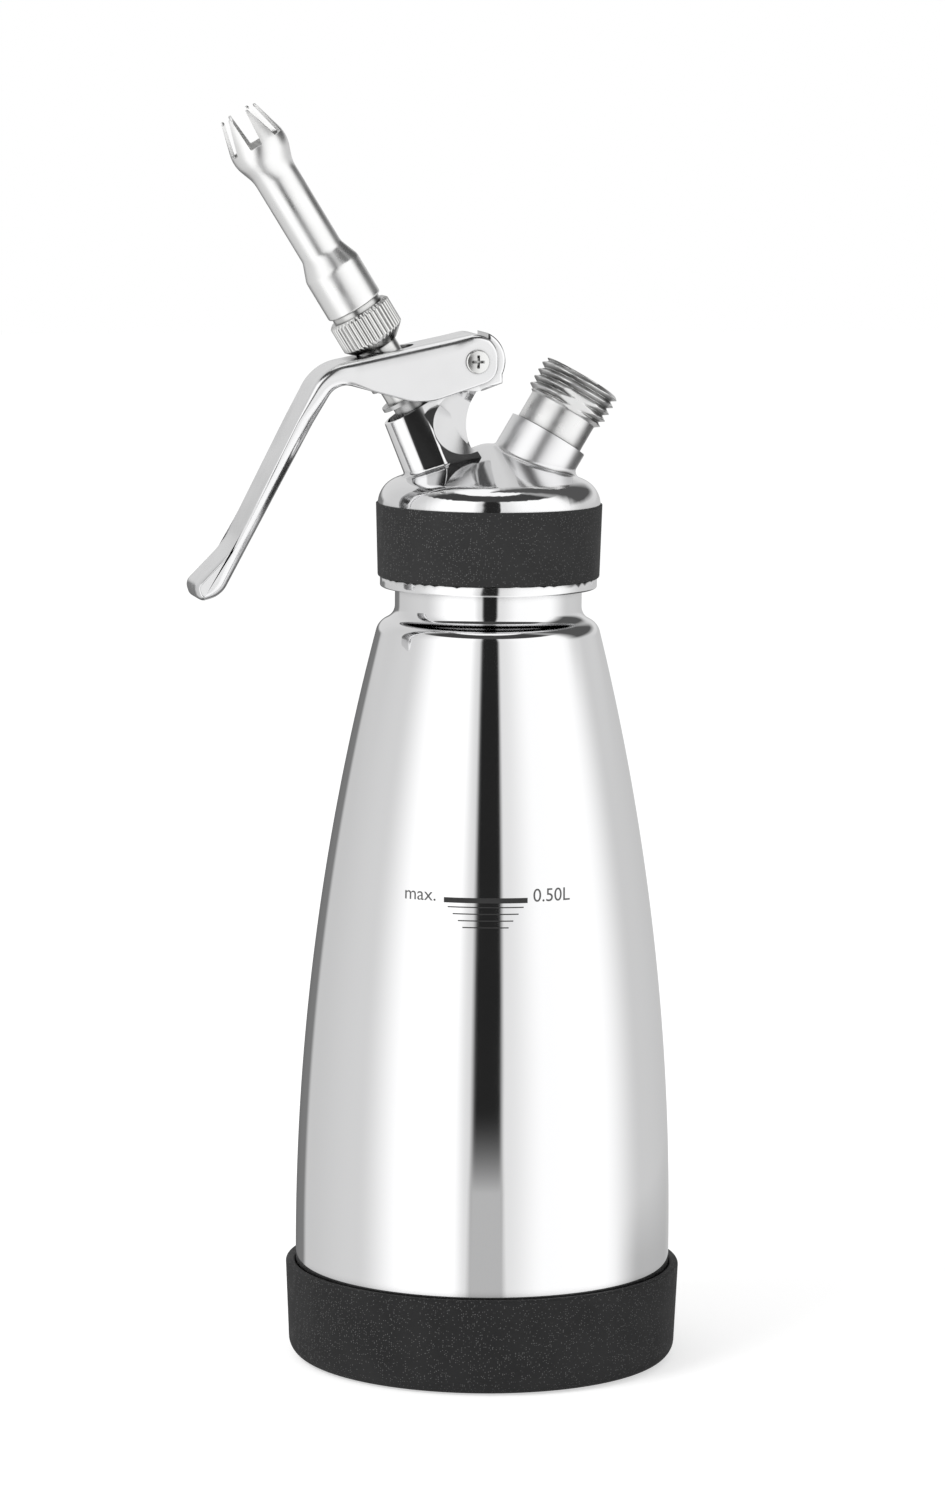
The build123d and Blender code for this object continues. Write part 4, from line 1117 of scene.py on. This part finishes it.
@dataclass
class Valve(SubAssembly):
    """The stem with its small plates, seals and spring, and the knurled adaptor on top."""

    axis: Axis
    cone_low: float = -1.4
    cone_radius: float = 4.7
    low: float = 0.5
    high: float = 7.9
    radius: float = 7.5
    edge: float = 0.7
    edge_round: float = 0.3
    ribs: int = 40
    rib_depth: float = 0.4
    rib_power: float = 1.5
    rib_points: int = 10
    neck_radius: float = 6.0
    neck_top: float = 9.15
    thread_radius: float = 5.0
    thread_top: float = 15.5
    thread_chamfer: float = 0.4
    bore_radius: float = 2.0
    stem_bore: float = 4.22
    stem_bore_top: float = 6.05
    step: float = 0.5
    spring_low: float = -26.45
    spring_keep: float = 0.79

    def spring(self) -> None:
        """The return spring, as a merged, smooth copy of its solid."""
        coil = solid_copy("spring_coil", "valve_spring", SHARP)
        self.dress(coil, WIRE, Body.HEAD, Slot.WIRE, "valve_spring")
        low, up = self.axis.place(np.array([[0.0, 0.0, self.spring_low], [0.0, 0.0, self.spring_low + 1.0]]))
        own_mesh(coil)

    def knurl(self, profile: Array, angles: Array) -> Array:
        """Straight ribs: a rounded sawtooth round the axis, as deep as the barrel's edges leave room for."""
        z = profile[:, 1:]
        rim = np.minimum(z - self.low, self.high - z) / self.edge
        on_barrel = (profile[:, :1] > self.radius - self.edge - NEAR) * np.clip(rim, 0.0, 1.0)
        tooth = np.abs(np.sin(self.ribs * angles / 2))
        return -on_barrel * self.rib_depth * (1.0 - tooth) ** self.rib_power

    def adaptor_profile(self) -> Array:
        """The adaptor's closed outline: cone, barrel, neck and thread outside, its two bores inside."""
        rim, thread_end = self.radius - self.edge, self.thread_top - self.thread_chamfer
        return rounded_path(
            [
                (self.stem_bore, self.cone_low),
                (self.cone_radius, self.cone_low),
                (rim, self.low),
                (self.radius, self.low + self.edge, self.edge_round),
                (self.radius, self.high - self.edge, self.edge_round),
                (rim, self.high),
                (self.neck_radius, self.high),
                (self.neck_radius, self.neck_top),
                (self.thread_radius, self.neck_top),
                (self.thread_radius, thread_end),
                (self.thread_radius - self.thread_chamfer, self.thread_top),
                (self.bore_radius, self.thread_top),
                (self.bore_radius, self.stem_bore_top),
                (self.stem_bore, self.stem_bore_top),
                (self.stem_bore, self.cone_low),
            ],
            self.step,
        )

    def build(self) -> None:
        """The knurled adaptor and the spring; the stem's own pieces keep their solids."""
        grid = turned_grid(self.adaptor_profile(), self.ribs * self.rib_points, self.knurl)
        adaptor = skin("knurled_adaptor", self.axis.place(grid))
        self.dress(adaptor, TURNED, Body.VALVE, Slot.SATIN, "tip_adaptor")
        self.coat(TURNED, "valve_stem")
        # painted shade under the lever: the washer, clip and cup get the darker steel
        self.coat(SHADED_STEEL, "spring_washer", "retaining_clip", "spring_cup")
        self.coat(RUBBER, "valve_seal", "stem_o_ring_upper", "stem_o_ring_lower")
        self.spring()


@dataclass
class TulipTip(SubAssembly):
    """The decorating nozzle and its seal."""

    sharp: float = 30.0

    def build(self) -> None:
        """The bright nozzle, and its seal as it is."""
        nozzle = solid_copy("tulip_nozzle", "nozzle", self.sharp)
        self.dress(nozzle, BRIGHT, Body.NOZZLE, Slot.SATIN, "nozzle")
        self.coat(RUBBER, "tip_seal")


@dataclass
class GasInlet(SubAssembly):
    """The inlet fitting with its cut thread, and what is inside it."""

    axis: Axis
    neck_radius: float = 8.15
    neck_round: float = 0.3
    thread_start: float = 6.6
    thread_end: float = 15.2
    thread_radius: float = 9.6
    thread_root: float = 8.45
    thread_pitch: float = 1.82
    thread_gain: float = 1.25
    thread_blunt: float = 0.12
    start_slope: float = 1.4
    chamfer: float = 0.8
    flat_distance: float = 8.4
    flat_low: float = 5.85
    flat_high: float = 10.85
    shank_radius: float = 6.45
    shank_end: float = -8.5
    socket_radius: float = 6.0
    socket_floor: float = 10.2
    seal_radius: float = 5.0
    seal_floor: float = 6.0
    needle_radius: float = 2.5
    needle_floor: float = 3.0
    way_radius: float = 1.3
    check_radius: float = 3.2
    check_top: float = -4.0
    step: float = 0.12
    segments: int = 192

    def swell(self, profile: Array, angles: Array) -> Array:
        """A cut thread over the plain profile, held under the chamfers at both its ends.

        Its radius is a blunt triangle wave between the root and the crest, which climbs one pitch a turn.
        """
        plain, height = profile[:, :1], profile[:, 1:]
        climb = height / self.thread_pitch - angles / (2 * np.pi)
        wave = 2 * np.abs(climb - np.floor(climb) - 0.5)
        crest = np.clip(self.thread_gain * wave - self.thread_blunt, 0.0, 1.0)
        radius = self.thread_root + (self.thread_radius - self.thread_root) * crest
        end_limit = self.thread_radius - self.chamfer + (self.thread_end - height)
        start_limit = self.neck_radius + self.start_slope * (height - self.thread_start)
        held = np.maximum(np.minimum(np.minimum(radius, end_limit), start_limit), self.neck_radius)
        inside = (height > self.thread_start) & (height < self.thread_end)
        return np.where((plain > self.neck_radius - NEAR) & inside, held - plain, 0.0)

    def fitting_grid(self) -> Array:
        """The fitting's whole skin, with two flats where its lower thread is cut back to a plane."""
        outside = rounded_path(
            [
                (0.0, self.shank_end),
                (self.shank_radius, self.shank_end),
                (self.shank_radius, 0.0),
                (self.neck_radius, 0.0, self.neck_round),
                (self.neck_radius, self.thread_end),
            ],
            self.step,
        )
        radii = (self.socket_radius, self.seal_radius, self.needle_radius, self.way_radius, self.check_radius)
        floors = (self.socket_floor, self.seal_floor, self.needle_floor, self.check_top, self.shank_end)
        heights = np.repeat((self.thread_end, *floors), 2)[1:-1]
        bores = np.stack([np.repeat(radii, 2), heights], axis=1)
        outside = outside[outside[:, 0] > self.check_radius]
        grid = turned_grid(np.concatenate([outside, bores, outside[:1]]), self.segments, self.swell)
        side, height = grid[:, :, 1], grid[:, :, 2]
        flat = (height > self.flat_low) & (height < self.flat_high)
        grid[:, :, 1] = np.where(flat, np.clip(side, -self.flat_distance, self.flat_distance), side)
        return self.axis.place(grid)

    def build(self) -> None:
        """The threaded fitting; the needle and the seals keep their solids."""
        fitting = skin("inlet_thread", self.fitting_grid())
        self.dress(fitting, BLASTED, Body.HEAD, Slot.SATIN, "inlet_fitting")
        self.coat(TURNED, "piercing_pin")
        self.coat(RUBBER, "fitting_seal", "charger_seal", "check_valve")


@dataclass
class Studio:
    """The floor, the soft light round the siphon and the camera; heights in the sky are sines."""

    yaw: float = 13.0
    pitch: float = 7.48
    roll: float = 0.536
    distance: float = 1313.6
    target_side: float = -3.287
    target_z: float = 141.2
    lens: float = 137.14
    sensor: float = 36.0
    view_end: float = 100.0
    floor_size: float = 8000.0
    floor_drop: float = 0.02
    floor_colour: Triple = (0.62, 0.62, 0.62)
    floor_roughness: float = 0.9
    floor_glow: float = 0.56
    fill_light: float = 0.75
    panels: tuple[Pair, ...] = (
        (-180.0, 0.16), (-147.0, 0.22), (-139.0, 0.66), (-84.0, 0.76), (-46.0, 1.30), (-20.0, 1.30),
        (-9.0, 0.85), (-5.0, 0.02), (9.5, 0.02), (13.0, 0.90), (40.0, 1.20), (76.0, 1.25),
        (116.0, 0.70), (180.0, 0.58),
    )
    panel_top: float = 2.0
    overhead: float = 1.15
    overhead_heights: Pair = (0.93, 0.96)
    back_wall: float = 0.75
    back_angles: Pair = (110.0, 145.0)
    back_heights: Pair = (0.03, 0.1)
    seam_low: Pair = (0.69, 0.72)
    seam_high: Pair = (0.95, 0.94)
    seam_angles: Pair = (110.0, 80.0)
    seam_level: float = 0.06
    shade_start: Pair = (90.0, 110.0)
    shade_end: Pair = (174.0, 154.0)
    shade_heights: Pair = (0.18, 0.32)
    shade_level: float = 0.1
    card_level: float = 0.54
    card_angles: Pair = (-9.0, 13.0)
    card_reach: Triple = (55.0, 364.0, 1050.0)
    card_fade: float = 1.7
    card_inner: float = 0.7
    card_grid: tuple[int, int] = (24, 12)
    key_power: float = 9.0
    key_size: float = 700.0
    key_place: Triple = (-900.0, -500.0, 1100.0)

    def camera(self) -> None:
        """A long lens at the photograph's height and angle, turned by its yaw, pitch and roll."""
        yaw, pitch, roll = (math.radians(angle) for angle in (self.yaw, self.pitch, self.roll))
        right = np.array([math.cos(yaw), -math.sin(yaw), 0.0])
        ahead = np.array([math.sin(yaw), math.cos(yaw), 0.0])
        forward = math.cos(pitch) * ahead - math.sin(pitch) * UP
        up = math.sin(pitch) * ahead + math.cos(pitch) * UP
        rolled_right = math.cos(roll) * right + math.sin(roll) * up
        rolled_up = math.cos(roll) * up - math.sin(roll) * right
        data = bpy.data.cameras.new("view")
        data.sensor_width, data.lens, data.clip_end = self.sensor, self.lens, self.view_end
        camera = linked("view", data)
        target = self.target_side * right + self.target_z * UP
        stand(camera, (rolled_right, rolled_up, -forward), target - forward * self.distance)
        bpy.context.scene.camera = camera

    def floor(self) -> None:
        """A plain pale floor that takes the shadow and shows as white where nothing shades it."""
        lines = self.floor_size * np.linspace(-0.5, 0.5, 3)
        across, away = np.meshgrid(lines, lines)
        points = np.stack([across, away, np.full_like(across, -self.floor_drop)], axis=2)
        floor = skin("floor", points, wrapped=False)
        material, nodes, shader = new_material("pale_floor")
        seen = nodes.add("LightPath").outputs["Is Camera Ray"]
        nodes.wire(shader, Base_Color=(*self.floor_colour, 1.0), Roughness=self.floor_roughness)
        nodes.wire(shader, Specular_IOR_Level=0.0, Emission_Color=WHITE)
        nodes.wire(shader, Emission_Strength=nodes.times(seen, self.floor_glow))
        floor.data.materials.append(material)
        floor.visible_glossy = False

    def card(self) -> None:
        """A pale card on the floor in front, which only mirrors show: a sector that fades outwards."""
        start, end = (math.radians(angle - 90.0 - self.yaw) for angle in self.card_angles)
        near, full, far = self.card_reach
        columns, rows = self.card_grid
        angles, radii = np.meshgrid(np.linspace(start, end, columns), np.linspace(near, far, rows))
        card = skin("card", round_points(radii, angles, 0.0), wrapped=False)
        material, nodes, _ = new_material("pale_card")
        material.node_tree.nodes.clear()
        place = nodes.add("TexCoord").outputs["Object"]
        split = nodes.add("SeparateXYZ", Vector=place)
        angle = nodes.math("ARCTAN2", split.outputs["Y"], split.outputs["X"])
        off_middle = nodes.math("ABSOLUTE", nodes.math("SUBTRACT", angle, (start + end) / 2))
        half = (end - start) / 2
        inside = nodes.rise(off_middle, half, half * self.card_inner)
        nearness = nodes.math("DIVIDE", 1.0, nodes.vector("LENGTH", place, output="Value"))
        outwards = nodes.math("POWER", nodes.rise(nearness, 1 / (far * MM), 1 / (full * MM)), self.card_fade)
        glow = nodes.add("Emission", Color=WHITE, Strength=self.card_level)
        mix = nodes.add("MixShader", Fac=nodes.times(inside, outwards))
        nodes.put(mix.inputs[1], nodes.add("BsdfTransparent").outputs["BSDF"])
        nodes.put(mix.inputs[2], glow.outputs["Emission"])
        nodes.add("OutputMaterial", Surface=mix.outputs["Shader"])
        card.data.materials.append(material)
        card.visible_camera = False
        card.visible_diffuse = False
        card.visible_shadow = False

    def sky(self) -> None:
        """A white surround for the eye, and soft panels by direction for the metal to mirror.

        The panels' brightness is a smooth curve over the angle round the siphon, in degrees from the camera
        and positive to its right. The back wall is brighter above the horizon, but for a dark part on the
        right, and everything turns into an even light overhead, past a dark seam in front.
        """
        world = bpy.data.worlds.new("studio")
        bpy.context.scene.world = world
        world.use_nodes = True
        nodes = NodeTree(world.node_tree)
        world.node_tree.nodes.clear()
        way = nodes.add("TexCoord").outputs["Generated"]
        turned = nodes.add("VectorRotate", Vector=way, Angle=math.radians(self.yaw))
        turned.rotation_type = "Z_AXIS"
        split = nodes.add("SeparateXYZ", Vector=turned.outputs["Vector"])
        height = split.outputs["Z"]
        ahead = nodes.times(split.outputs["Y"], -1.0)
        angle = nodes.math("DEGREES", nodes.math("ARCTAN2", split.outputs["X"], ahead))
        ramp = nodes.add("ValToRGB", Fac=nodes.rise(angle, -180.0, 180.0))
        self.fill_ramp(ramp.color_ramp)
        panel = nodes.add("SeparateColor", Color=ramp.outputs["Color"]).outputs["Red"]
        level = nodes.times(panel, self.panel_top)
        off_front, off_level = nodes.math("ABSOLUTE", angle), nodes.math("ABSOLUTE", height)
        back = ((off_front, self.back_angles), (height, self.back_heights))
        above = ((height, self.overhead_heights),)
        shade = ((angle, self.shade_start), (angle, self.shade_end), (off_level, self.shade_heights))
        seam = ((off_front, self.seam_angles), (height, self.seam_low), (height, self.seam_high))
        goals = (self.back_wall, self.overhead, self.shade_level, self.seam_level)
        for goal, edges in zip(goals, (back, above, shade, seam)):
            share = nodes.times(*(nodes.rise(value, *edge) for value, edge in edges))
            level = nodes.blend(level, goal, share)
        path = nodes.add("LightPath")
        shine = nodes.blend(self.fill_light, level, path.outputs["Is Glossy Ray"])
        white = nodes.times(path.outputs["Is Camera Ray"], 1.0 - self.fill_light)
        light = nodes.add("Background", Color=WHITE, Strength=nodes.math("ADD", shine, white))
        nodes.add("OutputWorld", Surface=light.outputs["Background"])

    def fill_ramp(self, ramp: bpy.types.ColorRamp) -> None:
        """Write the panels into a ramp, as shares of the brightest level that fits."""
        ramp.interpolation = "EASE"
        while len(ramp.elements) > 1:
            ramp.elements.remove(ramp.elements[-1])
        for number, (angle, level) in enumerate(self.panels):
            place, share = (angle + 180.0) / 360.0, level / self.panel_top
            stop = ramp.elements[0] if number == 0 else ramp.elements.new(place)
            stop.position = place
            stop.color = (share, share, share, 1.0)

    def key(self) -> None:
        """One large soft lamp, high on the left, for the shadow on the floor."""
        data = bpy.data.lights.new("key", "AREA")
        data.shape = "DISK"
        data.size, data.energy = self.key_size * MM, self.key_power
        lamp = linked("key", data)
        lamp.visible_glossy = False
        place = np.array(self.key_place)
        back = unit(place - self.target_z * UP)
        side = unit(np.cross(UP, back))
        stand(lamp, (side, np.cross(back, side), back), place)

    def build(self) -> None:
        """Camera, floor and light."""
        bpy.context.scene.view_settings.view_transform = "Standard"
        for step in (self.camera, self.floor, self.card, self.sky, self.key):
            step()


@dataclass
class Siphon:
    """The whole object, as its sub-assemblies in order."""

    bottle: Bottle = field(default_factory=Bottle)

    def build(self) -> None:
        """Build every sub-assembly."""
        fixed = (self.bottle, FillMark(self.bottle), Head(), LeverUnit())
        for part in (*fixed, Valve(STEM), TulipTip(), GasInlet(INLET)):
            LOG.info("building %s", type(part).__name__)
            part.build()


def main() -> None:
    """Build the siphon, then its studio."""
    logging.basicConfig(level=logging.INFO, format="%(message)s")
    Siphon().build()
    Studio().build()


if __name__ == "__main__":
    main()
